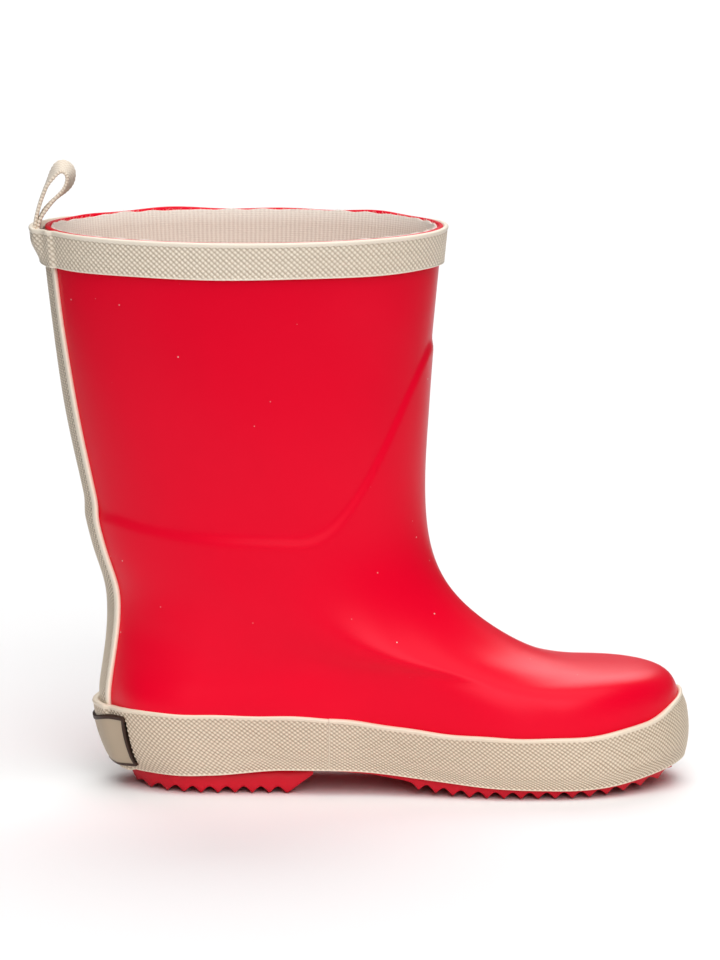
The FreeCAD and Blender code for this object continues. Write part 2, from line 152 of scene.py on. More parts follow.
def rounding(distance, radius):
    q = np.clip(distance / radius, 0.0, 1.0)
    return np.sqrt(np.maximum(0.0, 1 - (1 - q) ** 2))


def ring_points(u):
    """Every ring's point at each u: (rings, points, 3)."""
    rows = []
    turn = 2 * np.pi * u
    s = (1 - np.cos(turn)) / 2
    side = np.sin(turn)
    for k, (bx, bz, fx, fz, w_heel, w_waist, w_ball, r_back, r_front, dip) in enumerate(RINGS):
        x = bx + (fx - bx) * s
        width = np.where(s < 0.42, w_heel + (w_waist - w_heel) * ease(s / 0.42),
                         w_waist + (w_ball - w_waist) * ease((s - 0.42) / 0.32))
        width = width * rounding(x - bx, r_back) * rounding(fx - x, r_front)
        foot = 1 - ease((k - 3) / 5.0)
        swing = foot * (3.2 * ease((x - 10) / 95.0) - 1.4 * np.exp(-((x + 5) / 26.0) ** 2))
        width = np.where(side < 0, width - foot * 2.0 * np.exp(-((x + 2) / 24.0) ** 2), width)
        y = np.where(side >= 0, -width, width) + swing * (1 - (1 - s) ** 8)
        if k == 0:
            z = np.full_like(x, -2.0)
        elif k == 1:
            z = floor_z(x)
        elif k == 2:
            z = (floor_z(x) + foxing_top_z(x)) / 2
        elif k == 3:
            z = foxing_top_z(x)
        else:
            z = bz + (fz - bz) * s - dip * np.exp(-((x - 52) / 26.0) ** 2)
        rows.append(np.stack([x, y, z], -1))
    return np.array(rows)


walk = ring_points(np.arange(24) / 24)
LEVELS = np.concatenate([[0.0], np.cumsum(np.linalg.norm(np.diff(walk, axis=0), axis=2).mean(1))])
SLOPES = smooth_slopes(LEVELS)
T_TOP, T_FLOOR, T_FOXING = LEVELS[-1], LEVELS[1], LEVELS[3]


def skin(u, t, d=0.0):
    """Points on the skin at (u, t), moved out along its normal by d; arrays of one shape."""
    u, t, d = np.broadcast_arrays(np.asarray(u, float), np.asarray(t, float), np.asarray(d, float))
    shape = u.shape
    u, t, d = u.ravel(), t.ravel(), d.ravel()
    out = np.empty((len(u), 3))
    for first in range(0, len(u), 20000):
        part = slice(first, first + 20000)
        level = np.minimum(t[part], T_TOP)
        reads = []
        for step in (0.0, 0.0015, -0.0015):
            rings = ring_points(u[part] + step)
            slopes = np.tensordot(SLOPES, rings, 1)
            reads.append(hermite(LEVELS, rings, slopes, level))
        point, rise = reads[0]
        rise = rise / np.linalg.norm(rise, axis=1)[:, None]
        normal = np.cross(reads[1][0] - reads[2][0], rise)
        normal = normal / np.linalg.norm(normal, axis=1)[:, None]
        out[part] = point + rise * (t[part] - level)[:, None] + normal * d[part][:, None]
    return out.reshape(shape + (3,))


def level_where(u, reached):
    """t at each u where reached(points) first becomes true, going up."""
    low, high = np.zeros_like(u), np.full_like(u, T_TOP)
    for i in range(26):
        mid = (low + high) / 2
        above = reached(skin(u, mid))
        high = np.where(above, mid, high)
        low = np.where(above, low, mid)
    return (low + high) / 2


shift_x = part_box("shank")[0][0] / MM + 48.0   # the frame's origin is the middle of its box


def add_mesh(name, points, faces, uv=None, colors=None):
    """Mesh object from millimetre points; uv and colours are given per point."""
    mesh = bpy.data.meshes.new(name)
    place = np.asarray(points, float).reshape(-1, 3) * MM
    place[:, 0] += shift_x * MM
    mesh.from_pydata(place.tolist(), [], faces)
    mesh.update()
    loops = np.empty(len(mesh.loops), int)
    mesh.loops.foreach_get("vertex_index", loops)
    if uv is not None:
        layer = mesh.uv_layers.new(name="Cut")
        layer.data.foreach_set("uv", np.asarray(uv, float).reshape(-1, 2)[loops].ravel())
    for key, values in (colors or {}).items():
        layer = mesh.attributes.new(key, "FLOAT", "POINT")
        layer.data.foreach_set("value", np.asarray(values, np.float32).ravel())
    mesh.polygons.foreach_set("use_smooth", [True] * len(mesh.polygons))
    obj = bpy.data.objects.new(name, mesh)
    bpy.context.collection.objects.link(obj)
    return obj


def wrap_faces(n, m, closed):
    """Quads of an n by m grid whose second way closes on itself, and the first too if closed."""
    i = np.arange(n if closed else n - 1)[:, None]
    j = np.arange(m)[None, :]
    a = i * m + j
    b = ((i + 1) % n) * m + j
    c = ((i + 1) % n) * m + (j + 1) % m
    d = i * m + (j + 1) % m
    faces = np.stack([a, b, c, d], -1).reshape(-1, 4).tolist()
    if not closed:
        faces.append(list(range(m - 1, -1, -1)))
        faces.append(list(range((n - 1) * m, n * m)))
    return faces


def laid_piece(name, u, t, d, closed, arc, colors=None):
    """Closed piece from cross-sections: u, t, d are (stations, points round the section)."""
    points = skin(u, t, d)
    n, m = points.shape[:2]
    uv = np.stack([np.broadcast_to(arc, (n, m)), np.broadcast_to(t, (n, m))], -1) * MM
    return add_mesh(name, points, wrap_faces(n, m, closed), uv, colors)


def set_material(obj, material):
    obj.data.materials.clear()
    obj.data.materials.append(material)


def new_material(name):
    material = bpy.data.materials.new(name)
    material.use_nodes = True
    nodes = material.node_tree.nodes
    nodes.clear()
    output = nodes.new("ShaderNodeOutputMaterial")
    shader = nodes.new("ShaderNodeBsdfPrincipled")
    material.node_tree.links.new(shader.outputs[0], output.inputs[0])
    return material, shader


def group_with(name, inputs, outputs):
    """Empty shader node group with named sockets."""
    group = bpy.data.node_groups.new(name, "ShaderNodeTree")
    for kind, label, value in inputs:
        socket = group.interface.new_socket(name=label, in_out="INPUT", socket_type=kind)
        socket.default_value = value
    for kind, label in outputs:
        group.interface.new_socket(name=label, in_out="OUTPUT", socket_type=kind)
    return group, group.nodes.new("NodeGroupInput"), group.nodes.new("NodeGroupOutput")


def node(tree, kind, **values):
    """Add a node; named values set its options and plain inputs."""
    made = tree.nodes.new(kind)
    for key, value in values.items():
        if key.startswith("in_"):
            label = key[3:]
            socket = int(label) if label.isdigit() else label.replace("_", " ")
            made.inputs[socket].default_value = value
        else:
            setattr(made, key, value)
    return made


FLOAT, COLOR = "NodeSocketFloat", "NodeSocketColor"


def dusty_rubber_group():
    """Fine pores, slow unevenness and lint specks over a moulded or calendered rubber."""
    group, start, end = group_with(
        "rubber surface",
        [(COLOR, "Color", (1, 1, 1, 1)), (COLOR, "Shade", (0, 0, 0, 1)), (FLOAT, "Cloudiness", 0.2),
         (FLOAT, "Roughness", 0.4), (FLOAT, "Roughness Change", 0.08), (FLOAT, "Specks", 0.5),
         (FLOAT, "Grain Size", 900.0)],
        [(COLOR, "Color"), (FLOAT, "Roughness"), (FLOAT, "Height")])
    link = group.links.new
    place = node(group, "ShaderNodeTexCoord")
    clouds = node(group, "ShaderNodeTexNoise", in_Scale=26.0, in_Detail=3.0)
    grain = node(group, "ShaderNodeTexNoise", in_Detail=2.0)
    lint = node(group, "ShaderNodeTexVoronoi", in_Scale=170.0, in_Randomness=1.0)
    for texture in (clouds, grain, lint):
        link(place.outputs["Object"], texture.inputs["Vector"])
    link(start.outputs["Grain Size"], grain.inputs["Scale"])
    cloud = node(group, "ShaderNodeMapRange", in_1=0.35, in_2=0.72)
    link(clouds.outputs["Fac"], cloud.inputs[0])
    cover = node(group, "ShaderNodeMath", operation="MULTIPLY")
    link(cloud.outputs[0], cover.inputs[0])
    link(start.outputs["Cloudiness"], cover.inputs[1])
    tone = node(group, "ShaderNodeMix", data_type="RGBA")
    link(cover.outputs[0], tone.inputs["Factor"])
    link(start.outputs["Color"], tone.inputs[6])
    link(start.outputs["Shade"], tone.inputs[7])
    speck = node(group, "ShaderNodeMapRange", in_1=0.055, in_2=0.02)
    link(lint.outputs["Distance"], speck.inputs[0])
    chosen = node(group, "ShaderNodeMapRange", in_1=0.62, in_2=0.72)
    link(lint.outputs["Color"], chosen.inputs[0])
    speck_on = node(group, "ShaderNodeMath", operation="MULTIPLY")
    link(speck.outputs[0], speck_on.inputs[0])
    link(chosen.outputs[0], speck_on.inputs[1])
    speck_amount = node(group, "ShaderNodeMath", operation="MULTIPLY")
    link(speck_on.outputs[0], speck_amount.inputs[0])
    link(start.outputs["Specks"], speck_amount.inputs[1])
    dusted = node(group, "ShaderNodeMix", data_type="RGBA")
    dusted.inputs[7].default_value = (0.85, 0.78, 0.72, 1)
    link(speck_amount.outputs[0], dusted.inputs["Factor"])
    link(tone.outputs[2], dusted.inputs[6])
    link(dusted.outputs[2], end.inputs["Color"])
    rough = node(group, "ShaderNodeMath", operation="MULTIPLY_ADD")
    link(cloud.outputs[0], rough.inputs[0])
    link(start.outputs["Roughness Change"], rough.inputs[1])
    link(start.outputs["Roughness"], rough.inputs[2])
    link(rough.outputs[0], end.inputs["Roughness"])
    raised = node(group, "ShaderNodeMath", operation="MULTIPLY_ADD", in_1=3.0)
    link(speck_on.outputs[0], raised.inputs[0])
    link(grain.outputs["Fac"], raised.inputs[2])
    link(raised.outputs[0], end.inputs["Height"])
    return group


RUBBER = dusty_rubber_group()


def rubber_surface(tree, *values):
    """The rubber group in a material, its inputs set in the group's own order."""
    surface = node(tree, "ShaderNodeGroup", node_tree=RUBBER)
    for socket, value in zip(surface.inputs, values):
        socket.default_value = value
    return surface


def rubber_material(name, color, shade, cloudiness, roughness, change, specks, grain, bump,
                    relief=None):
    """Rubber; relief = (attribute, groove shade colour, strength) paints shade into the grooves of a knurl,
    darker the deeper.
    """
    material, shader = new_material(name)
    tree = material.node_tree
    surface = rubber_surface(tree, color, shade, cloudiness, roughness, change, specks, grain)
    tinted = surface.outputs["Color"]
    # painted shade: the knurl's grooves are mixed towards the groove shade colour by their depth
    if relief:
        depth = node(tree, "ShaderNodeAttribute", attribute_name=relief[0])
        amount = node(tree, "ShaderNodeMapRange", in_1=0.88, in_2=0.15, in_3=0.0, in_4=relief[2])
        tree.links.new(depth.outputs["Fac"], amount.inputs[0])
        mix = node(tree, "ShaderNodeMix", data_type="RGBA")
        mix.inputs[7].default_value = relief[1]
        tree.links.new(amount.outputs[0], mix.inputs["Factor"])
        tree.links.new(tinted, mix.inputs[6])
        tinted = mix.outputs[2]
    height = node(tree, "ShaderNodeBump", in_Strength=bump, in_Distance=0.0002)
    tree.links.new(surface.outputs["Height"], height.inputs["Height"])
    tree.links.new(height.outputs[0], shader.inputs["Normal"])
    tree.links.new(tinted, shader.inputs["Base Color"])
    tree.links.new(surface.outputs["Roughness"], shader.inputs["Roughness"])
    return material, shader


UPPER_THICK = 1.6
GLUE = 0.08
LAYER_THICK = 0.7
SOLE_SHEET = 3.0
STEP_WIDE = 4.6


def layer_edge(u):
    """t of the reinforcement's edge: level round the ankle, a tongue up the shin."""
    q = np.minimum(np.abs(u - np.round(u)), 0.5)
    rise = np.sin(np.pi / 2 * np.clip((q - 0.285) / 0.20, 0, 1)) ** 2.25
    lift_at_back = 3.5 * np.clip((0.23 - q) / 0.135, 0, 1) ** 2
    return EDGE_LOW + lift_at_back + (EDGE_HIGH - EDGE_LOW) * rise


EDGE_LOW = level_where(np.array([0.15]), lambda p: p[:, 2] >= 84.0)[0] - 1.2
EDGE_HIGH = level_where(np.array([0.5]), lambda p: p[:, 2] >= 141.0)[0]


def layer_step(u, t):
    """Height of the upper over the layer beneath: a low step, softened by the skin over it."""
    past = t - layer_edge(u)
    return (LAYER_THICK + GLUE) * ease((STEP_WIDE - past) / STEP_WIDE)


def soft_waves(u, t):
    """Slow unevenness of a hand-laid skin."""
    a = 2 * np.pi * u
    return 0.16 * (np.sin(3 * a + t / 17) * np.cos(t / 29 + 1.3) + 0.6 * np.sin(5 * a - t / 23 + 2.1)
                   + 0.4 * np.sin(9 * a + t / 11)) * ease((t - 22) / 20) * ease((T_TOP - 14 - t) / 20)


def heel_swell(u, t):
    """The skin bellies out a little over the heel, just above the foxing."""
    q = np.abs(u - np.round(u))
    belly = 1.8 * np.exp(-((t - T_FOXING - 1) / 10.0) ** 2)
    return belly * ease((q - 0.045) / 0.05) * ease((0.27 - q) / 0.10)


columns = np.arange(420) / 420
feather = level_where(columns, lambda p: p[:, 2] >= floor_z(p[:, 0]) + SOLE_SHEET)
rise_v = np.linspace(0, 1, 166)
outer_t = feather[:, None] + (T_TOP - 0.35 - feather[:, None]) * rise_v
u_grid = columns[:, None] * np.ones_like(outer_t)
outer_d = layer_step(u_grid, outer_t) + soft_waves(u_grid, outer_t) + heel_swell(u_grid, outer_t)
edge_t = T_TOP + np.array([-0.1, 0.0, 0.0, -0.1]) + np.zeros((len(columns), 1))
edge_d = np.array([-0.08, -0.35, -1.2, -1.5]) + np.zeros((len(columns), 1))
inner_v = np.concatenate([np.linspace(0, 0.12, 6), np.linspace(0.12, 1, 30)[1:]])
inner_t = (T_TOP - 0.4) + (feather[:, None] - (T_TOP - 0.4)) * inner_v
inner_u = columns[:, None] * np.ones_like(inner_t)
inner_d = (LAYER_THICK + GLUE) * ease((layer_edge(inner_u) + 2.8 - inner_t) / 2.4) - UPPER_THICK
section_t = np.concatenate([outer_t, edge_t, inner_t], 1)
section_d = np.concatenate([outer_d, edge_d, inner_d], 1)
section_u = columns[:, None] * np.ones_like(section_t)
# where the trimmed edge wanders, the last 3 mm of the section move with it
wander = 0.35 * np.sin(2 * np.pi * columns * 5 + 0.7) + 0.3 * np.sin(2 * np.pi * columns * 11 + 2.0)
wander = (wander * ease((columns - 0.55) / 0.1) * ease((0.97 - columns) / 0.1))[:, None]
section_t = section_t + wander * ease((section_t - (T_TOP - 3)) / 3)
cut_edge = ease((section_t - (T_TOP - 0.3)) / 0.25) * np.where(section_d < -0.05, 1.0, 0.0)
upper = laid_piece("upper_skin", section_u, section_t, section_d, True,
                   section_u * 330, {"cut_edge": cut_edge})
RED = (0.83, 0.0, 0.021, 1)
RED_DEEP = (0.74, 0.0, 0.018, 1)
red_rubber, red_shader = rubber_material("red rubber", RED, RED_DEEP, 0.35, 0.34, 0.06, 0.8,
                                         1400.0, 0.10)
red_shader.inputs["Specular IOR Level"].default_value = 0.42
red_shader.inputs["Specular Tint"].default_value = (1.0, 0.28, 0.34, 1)
set_material(upper, red_rubber)
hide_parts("upper")
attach(upper, "boot")

# ---- lining -------------------------------------------------------------------------------
# Ribbed cotton knit bonded inside the rubber, 1.2 mm thick, its ribs running up the leg.
# The top edge is cut raw: loose ends of yarn stand out of it just under the rubber's edge.
LINING_OUT = -(UPPER_THICK + GLUE) - GLUE
LINING_THICK = 1.2
RIBS_ROUND = 270
lining_columns = np.arange(RIBS_ROUND * 4) / (RIBS_ROUND * 4)
lining_feather = np.interp(lining_columns, np.append(columns, 1), np.append(feather, feather[0]))
trim = -0.62 - 0.15 * np.sin(2 * np.pi * lining_columns * 4 + 1.0) \
    - 0.7 * ease((lining_columns - 0.86) / 0.04) * ease((0.97 - lining_columns) / 0.04) \
    - 0.22 * np.sin(2 * np.pi * lining_columns * 37) * np.sin(2 * np.pi * lining_columns * 5)
down = np.concatenate([np.linspace(0, 0.25, 12), np.linspace(0.25, 1, 36)[1:]])
in_t = (T_TOP + trim[:, None]) + (lining_feather[:, None] - T_TOP - trim[:, None]) * down
rib_height = 0.07 * np.cos(2 * np.pi * lining_columns * RIBS_ROUND)[:, None]
in_d = LINING_OUT - LINING_THICK + (0.15 - rib_height) * ease((in_t - 30) / 10)
out_t = in_t[:, ::-1][:, ::2]
out_d = np.full_like(out_t, LINING_OUT - 0.12)
top_t = (T_TOP + trim[:, None]) + np.array([0.25, 0.3]) + np.zeros((len(lining_columns), 1))
top_d = LINING_OUT - np.array([0.3, 0.9]) + np.zeros((len(lining_columns), 1))
lin_t = np.concatenate([out_t, top_t, in_t], 1)
lin_d = np.concatenate([out_d, top_d, in_d], 1)
lin_u = lining_columns[:, None] * np.ones_like(lin_t)
# rib mask: 1 on a rib's crest, 0 between ribs, where the knit gets painted shade
rib_mask = 0.5 + 0.5 * np.cos(2 * np.pi * lining_columns * RIBS_ROUND)[:, None] * np.ones_like(lin_t)
raw = ease((lin_t - (T_TOP - 3.0)) / 2.5)
lining = laid_piece("lining_knit", lin_u, lin_t, lin_d, True, lin_u * 330,
                    {"rib": rib_mask, "raw": raw})


def knit_group():
    """Courses of knit along UV's second way, with painted shade between the ribs and in the dips of the
    courses, whitened at a raw edge.
    """
    group, start, end = group_with(
        "knit",
        [(COLOR, "Yarn", (1, 1, 1, 1)), (COLOR, "Between", (1, 1, 1, 1)),
         (COLOR, "Raw", (1, 1, 1, 1)), (FLOAT, "Course", 0.0007)],
        [(COLOR, "Color"), (FLOAT, "Height")])
    link = group.links.new
    rib = node(group, "ShaderNodeAttribute", attribute_name="rib")
    raw_edge = node(group, "ShaderNodeAttribute", attribute_name="raw")
    cut = node(group, "ShaderNodeUVMap", uv_map="Cut")
    split = node(group, "ShaderNodeSeparateXYZ")
    link(cut.outputs[0], split.inputs[0])
    rows = node(group, "ShaderNodeMath", operation="DIVIDE")
    link(split.outputs["Y"], rows.inputs[0])
    link(start.outputs["Course"], rows.inputs[1])
    turns = node(group, "ShaderNodeMath", operation="MULTIPLY", in_1=2 * math.pi)
    link(rows.outputs[0], turns.inputs[0])
    wave = node(group, "ShaderNodeMath", operation="SINE")
    link(turns.outputs[0], wave.inputs[0])
    place = node(group, "ShaderNodeTexCoord")
    fuzz = node(group, "ShaderNodeTexNoise", in_Scale=1500.0, in_Detail=3.0)
    link(place.outputs["Object"], fuzz.inputs["Vector"])
    loops = node(group, "ShaderNodeMath", operation="MULTIPLY_ADD", in_1=0.16)
    link(wave.outputs[0], loops.inputs[0])
    link(fuzz.outputs["Fac"], loops.inputs[2])
    link(loops.outputs[0], end.inputs["Height"])
    # painted shade: towards Between in the valleys between ribs and in each course's dips
    shaded = node(group, "ShaderNodeMath", operation="MULTIPLY_ADD", in_1=0.12)
    link(wave.outputs[0], shaded.inputs[0])
    link(rib.outputs["Fac"], shaded.inputs[2])
    body = node(group, "ShaderNodeMix", data_type="RGBA", clamp_factor=True)
    link(shaded.outputs[0], body.inputs["Factor"])
    link(start.outputs["Between"], body.inputs[6])
    link(start.outputs["Yarn"], body.inputs[7])
    whitened = node(group, "ShaderNodeMix", data_type="RGBA")
    amount = node(group, "ShaderNodeMath", operation="MULTIPLY")
    link(raw_edge.outputs["Fac"], amount.inputs[0])
    link(fuzz.outputs["Fac"], amount.inputs[1])
    link(amount.outputs[0], whitened.inputs["Factor"])
    link(body.outputs[2], whitened.inputs[6])
    link(start.outputs["Raw"], whitened.inputs[7])
    link(whitened.outputs[2], end.inputs["Color"])
    return group


KNIT = knit_group()
knit_material, knit_shader = new_material("pink cotton knit")
tree = knit_material.node_tree
knit = node(tree, "ShaderNodeGroup", node_tree=KNIT)
knit.inputs["Yarn"].default_value = (0.88, 0.76, 0.67, 1)
# Between is the painted shade colour of the knit's valleys
knit.inputs["Between"].default_value = (0.74, 0.60, 0.52, 1)
knit.inputs["Raw"].default_value = (0.93, 0.87, 0.80, 1)
knit_bump = node(tree, "ShaderNodeBump", in_Strength=0.4, in_Distance=0.0003)
tree.links.new(knit.outputs["Height"], knit_bump.inputs["Height"])
tree.links.new(knit_bump.outputs[0], knit_shader.inputs["Normal"])
tree.links.new(knit.outputs["Color"], knit_shader.inputs["Base Color"])
knit_shader.inputs["Roughness"].default_value = 0.9
knit_shader.inputs["Sheen Weight"].default_value = 0.25
set_material(lining, knit_material)
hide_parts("lining")
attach(lining, "boot")

# loose yarn ends along the raw edge: short tapered threads, three-sided
chance = np.random.default_rng(7)
fray_points, fray_faces = [], []
for i in range(520):
    u0 = chance.uniform(0, 1)
    base_t = T_TOP + np.interp(u0, lining_columns, trim) + 0.1
    length = chance.uniform(0.3, 0.95)
    lean = chance.normal(0, 0.0012)
    inward = chance.uniform(0.0, 0.6)
    d0 = LINING_OUT - chance.uniform(0.3, 1.0)
    steps = np.linspace(0, 1, 5)
    centre = skin(u0 + lean * steps ** 1.5, base_t + length * steps, d0 - inward * steps ** 2)
    radius = 0.075 * (1 - 0.6 * steps)
    first = len(fray_points)
    for c, r in zip(centre, radius):
        for k in range(3):
            a = 2 * math.pi * k / 3
            fray_points.append((c[0] + r * math.cos(a), c[1] + r * math.sin(a), c[2] + 0.02 * k))
    for s in range(4):
        for k in range(3):
            a, b = first + s * 3 + k, first + s * 3 + (k + 1) % 3
            fray_faces.append([a, b, b + 3, a + 3])
    fray_faces.append([first + 2, first + 1, first])
    fray_faces.append([first + 12, first + 13, first + 14])
fray = add_mesh("lining_fray", fray_points, fray_faces)
fray_material, fray_shader = new_material("frayed cotton")
tree = fray_material.node_tree
fray_noise = node(tree, "ShaderNodeTexNoise", in_Scale=900.0)
fray_mix = node(tree, "ShaderNodeMix", data_type="RGBA")
fray_mix.inputs[6].default_value = (0.95, 0.88, 0.80, 1)
fray_mix.inputs[7].default_value = (0.78, 0.60, 0.52, 1)
tree.links.new(fray_noise.outputs["Fac"], fray_mix.inputs["Factor"])
tree.links.new(fray_mix.outputs[2], fray_shader.inputs["Base Color"])
fray_shader.inputs["Roughness"].default_value = 0.9
set_material(fray, fray_material)
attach(fray, "boot")

# ---- back strip ---------------------------------------------------------------------------
# Cream rubber tape, 25 mm wide, over the back seam from the foxing to the collar.  A plain
# raised border 1.9 mm wide runs down each side of a middle rolled with a diamond knurl.
TAPE_THICK = 1.2
STRIP_HALF = 12.5
KNURL_WIDE = 1.72
KNURL_HIGH = 1.42
STRIP_KNURL_HIGH = 1.9


SPEED_T = np.linspace(0, T_TOP, 60)
SPEED = np.linalg.norm(skin(0.003, SPEED_T) - skin(-0.003, SPEED_T), axis=1) / 0.006


def back_speed(t):
    """Millimetres of arc per turn at the back seam."""
    return np.interp(t, SPEED_T, SPEED)


def knurl(a, h, wide, high):
    """Height 0..1 of a diamond knurl: two sets of slanted grooves, one cut deeper."""
    one = np.abs(np.sin(np.pi * (a / wide + h / high)))
    two = np.abs(np.sin(np.pi * (a / wide - h / high)))
    return one ** 0.9 * (0.35 + 0.65 * two ** 0.9)


border = 1.9
across = np.concatenate([[-STRIP_HALF, -STRIP_HALF + 0.15, -STRIP_HALF + 0.6, -STRIP_HALF + 1.0],
                         np.linspace(-STRIP_HALF + border, STRIP_HALF - border, 86),
                         [STRIP_HALF - 1.0, STRIP_HALF - 0.6, STRIP_HALF - 0.15, STRIP_HALF]])
strip_low, strip_high = T_FLOOR + SOLE_SHEET + 1.5, T_TOP - 1.0
strip_t = np.linspace(strip_low, strip_high, 760)
a_grid, t_grid = np.meshgrid(across, strip_t)
in_middle = ease((STRIP_HALF - border - np.abs(a_grid)) / 0.25)
height = knurl(a_grid, t_grid, KNURL_WIDE, STRIP_KNURL_HIGH)
strip_top = TAPE_THICK - 0.55 * in_middle * (1 - height) - 0.05 * in_middle
strip_top = np.where(np.abs(a_grid) > STRIP_HALF - 0.02, TAPE_THICK * 0.75, strip_top)
strip_top = np.where((np.abs(a_grid) > STRIP_HALF - 0.3) & (np.abs(a_grid) < STRIP_HALF - 0.02),
                     TAPE_THICK * 0.95, strip_top)
under_a = np.array([STRIP_HALF - 0.05, STRIP_HALF * 0.5, 0.0, -STRIP_HALF * 0.5, -STRIP_HALF + 0.05])
a_all = np.concatenate([a_grid, under_a + np.zeros((len(strip_t), 1))], 1)
t_all = np.concatenate([t_grid, strip_t[:, None] + np.zeros((1, 5))], 1)
u_all = a_all / back_speed(t_all)
past = t_all - layer_edge(u_all)
base = ((LAYER_THICK + GLUE) * ease((8 - past) / 8) + 0.15 * np.exp(-(past / 5) ** 2)
        + soft_waves(u_all, t_all) + 0.04)
d_all = base + np.concatenate([strip_top, np.zeros((len(strip_t), 5))], 1)
# relief is 1 on the knurl's tops and lower in its grooves; it sets how much painted shade a groove gets
relief = np.concatenate([1 - in_middle * (1 - height), np.ones((len(strip_t), 5))], 1)
strip = laid_piece("back_tape", u_all, t_all, d_all, False, a_all, {"relief": relief})
CREAM = (0.86, 0.74, 0.59, 1)
CREAM_SHADE = (0.78, 0.65, 0.50, 1)
# painted shade colour for the grooves of the foxing's knurl
GROOVE_SHADE = (0.30, 0.20, 0.12, 1)


def knurled_rubber(name, color, shade, groove, strength):
    """Cream rubber whose knurl's grooves are darkened with painted shade."""
    return rubber_material(name, color, shade, 0.5, 0.42, 0.1, 0.0, 1600.0, 0.12,
                           ("relief", groove, strength))[0]


cream_rubber = knurled_rubber("cream rubber", CREAM, CREAM_SHADE, GROOVE_SHADE, 0.85)
# the back tape's grooves get painted shade towards (0.22, 0.14, 0.08)
tape_rubber = knurled_rubber("back tape rubber", (0.97, 0.86, 0.71, 1), (0.90, 0.78, 0.62, 1),
                             (0.22, 0.14, 0.08, 1), 0.95)
set_material(strip, tape_rubber)
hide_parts("back_strip")
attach(strip, "boot")

# ---- collar band --------------------------------------------------------------------------
# Cream rubber tape round the top edge, 11.5 mm high and 1.5 mm thick, rolled with a coarse
# diamond knurl under a plain bead.  It rides up over the back strip and the webbing ends.
BAND_HEIGHT = 11.5
BAND_THICK = 1.5
COLLAR_WIDE = 1.91
COLLAR_HIGH = 1.75
WEB_HALF = 5.5
WEB_THICK = 1.1


def back_arc(u, t):
    return (u - np.round(u)) * back_speed(t)


def strip_bump(u, t):
    return (TAPE_THICK + GLUE) * ease((STRIP_HALF + 2.4 - np.abs(back_arc(u, t))) / 2.2)


def tails_bump(u, t):
    side = ease((WEB_HALF + 5.0 - np.abs(back_arc(u, t))) / 4.4)
    return (2 * WEB_THICK + GLUE) * side * ease((t - (T_TOP - BAND_HEIGHT)) / 8.0)


ring_turns = np.arange(1440) / 1440
rim_xy = skin(ring_turns, np.full(1440, T_TOP), 1.5)
gaps = np.linalg.norm(np.diff(rim_xy, axis=0, append=rim_xy[:1]), axis=1)
rim_length = gaps.sum()
DIAMONDS = round(rim_length / COLLAR_WIDE)
# stations evenly spaced in arc, eight to a diamond
even = np.arange(DIAMONDS * 8) / (DIAMONDS * 8) * rim_length
band_u = np.interp(even, np.concatenate([[0], np.cumsum(gaps)]), np.append(ring_turns, 1.0))
band_wide = rim_length / DIAMONDS
knurl_top = T_TOP - 0.75
rows_t = np.linspace(T_TOP - BAND_HEIGHT + 0.35, knurl_top, 46)
a_grid, t_grid = np.meshgrid(even, rows_t, indexing="ij")
height = knurl(a_grid, t_grid - knurl_top, band_wide, COLLAR_HIGH)
fade = ease((t_grid - rows_t[0]) / 0.3) * ease((knurl_top - t_grid) / 0.3)
face_d = BAND_THICK - 0.52 * fade * (1 - height)
bead_t = T_TOP + np.array([-0.6, -0.35, 0.05, 0.35, 0.5, 0.5, 0.35])
bead_d = np.array([1.5, 1.62, 1.66, 1.5, 1.15, 0.5, 0.1])
back_t = np.array([T_TOP - 3.0, T_TOP - 7.0, T_TOP - BAND_HEIGHT + 0.3])
back_d = np.array([0.0, 0.0, 0.0])
foot_t = np.array([T_TOP - BAND_HEIGHT, T_TOP - BAND_HEIGHT, T_TOP - BAND_HEIGHT + 0.1])
foot_d = np.array([0.35, 1.1, 1.38])
one = np.ones((len(band_u), 1))
t_all = np.concatenate([t_grid, one * bead_t, one * back_t, one * foot_t], 1)
d_all = np.concatenate([face_d, one * bead_d, one * back_d, one * foot_d], 1)
u_all = band_u[:, None] * np.ones_like(t_all)
band_wave = 0.12 * np.sin(2 * np.pi * u_all * 7 + 1) * ease((T_TOP - 2 - t_all) / 6)
d_all = d_all + GLUE + strip_bump(u_all, t_all) + tails_bump(u_all, t_all)
far_side = ease((u_all - 0.53) / 0.08) * ease((0.94 - u_all) / 0.05)
t_all = t_all + band_wave - 0.25 - 0.85 * far_side * ease((t_all - (T_TOP - 8)) / 7)
# relief sets the painted shade in the collar knurl's grooves, towards (0.38, 0.27, 0.17)
relief = np.concatenate([1 - 0.8 * fade * (1 - height), np.ones((len(band_u), 13))], 1)
band = laid_piece("collar_tape", u_all, t_all, d_all, True, even[:, None], {"relief": relief})
band_rubber = knurled_rubber("collar rubber", (0.97, 0.87, 0.73, 1), (0.90, 0.79, 0.64, 1),
                             (0.38, 0.27, 0.17, 1), 0.85)
set_material(band, band_rubber)
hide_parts("collar_band")
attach(band, "boot")

# ---- foxing -------------------------------------------------------------------------------
# Two lengths of cream rubber tape, 2 mm thick, round the foot of the wall: one round the
# heel, one round the toe, butted at both arches.  Fine diamond knurl under a plain bead.
FOXING_THICK = 2.0
JOINT_X = -9.8


def foxing_base(u, t):
    return GLUE + LAYER_THICK + GLUE + strip_bump(u, t)


def heel_tuck(u, t):
    """How far the strip's foot is drawn in round the back of the heel."""
    return 1.3 * ease((0.12 - np.abs(u - np.round(u))) / 0.05) * ease((T_FLOOR + 6 - t) / 6) ** 1.5


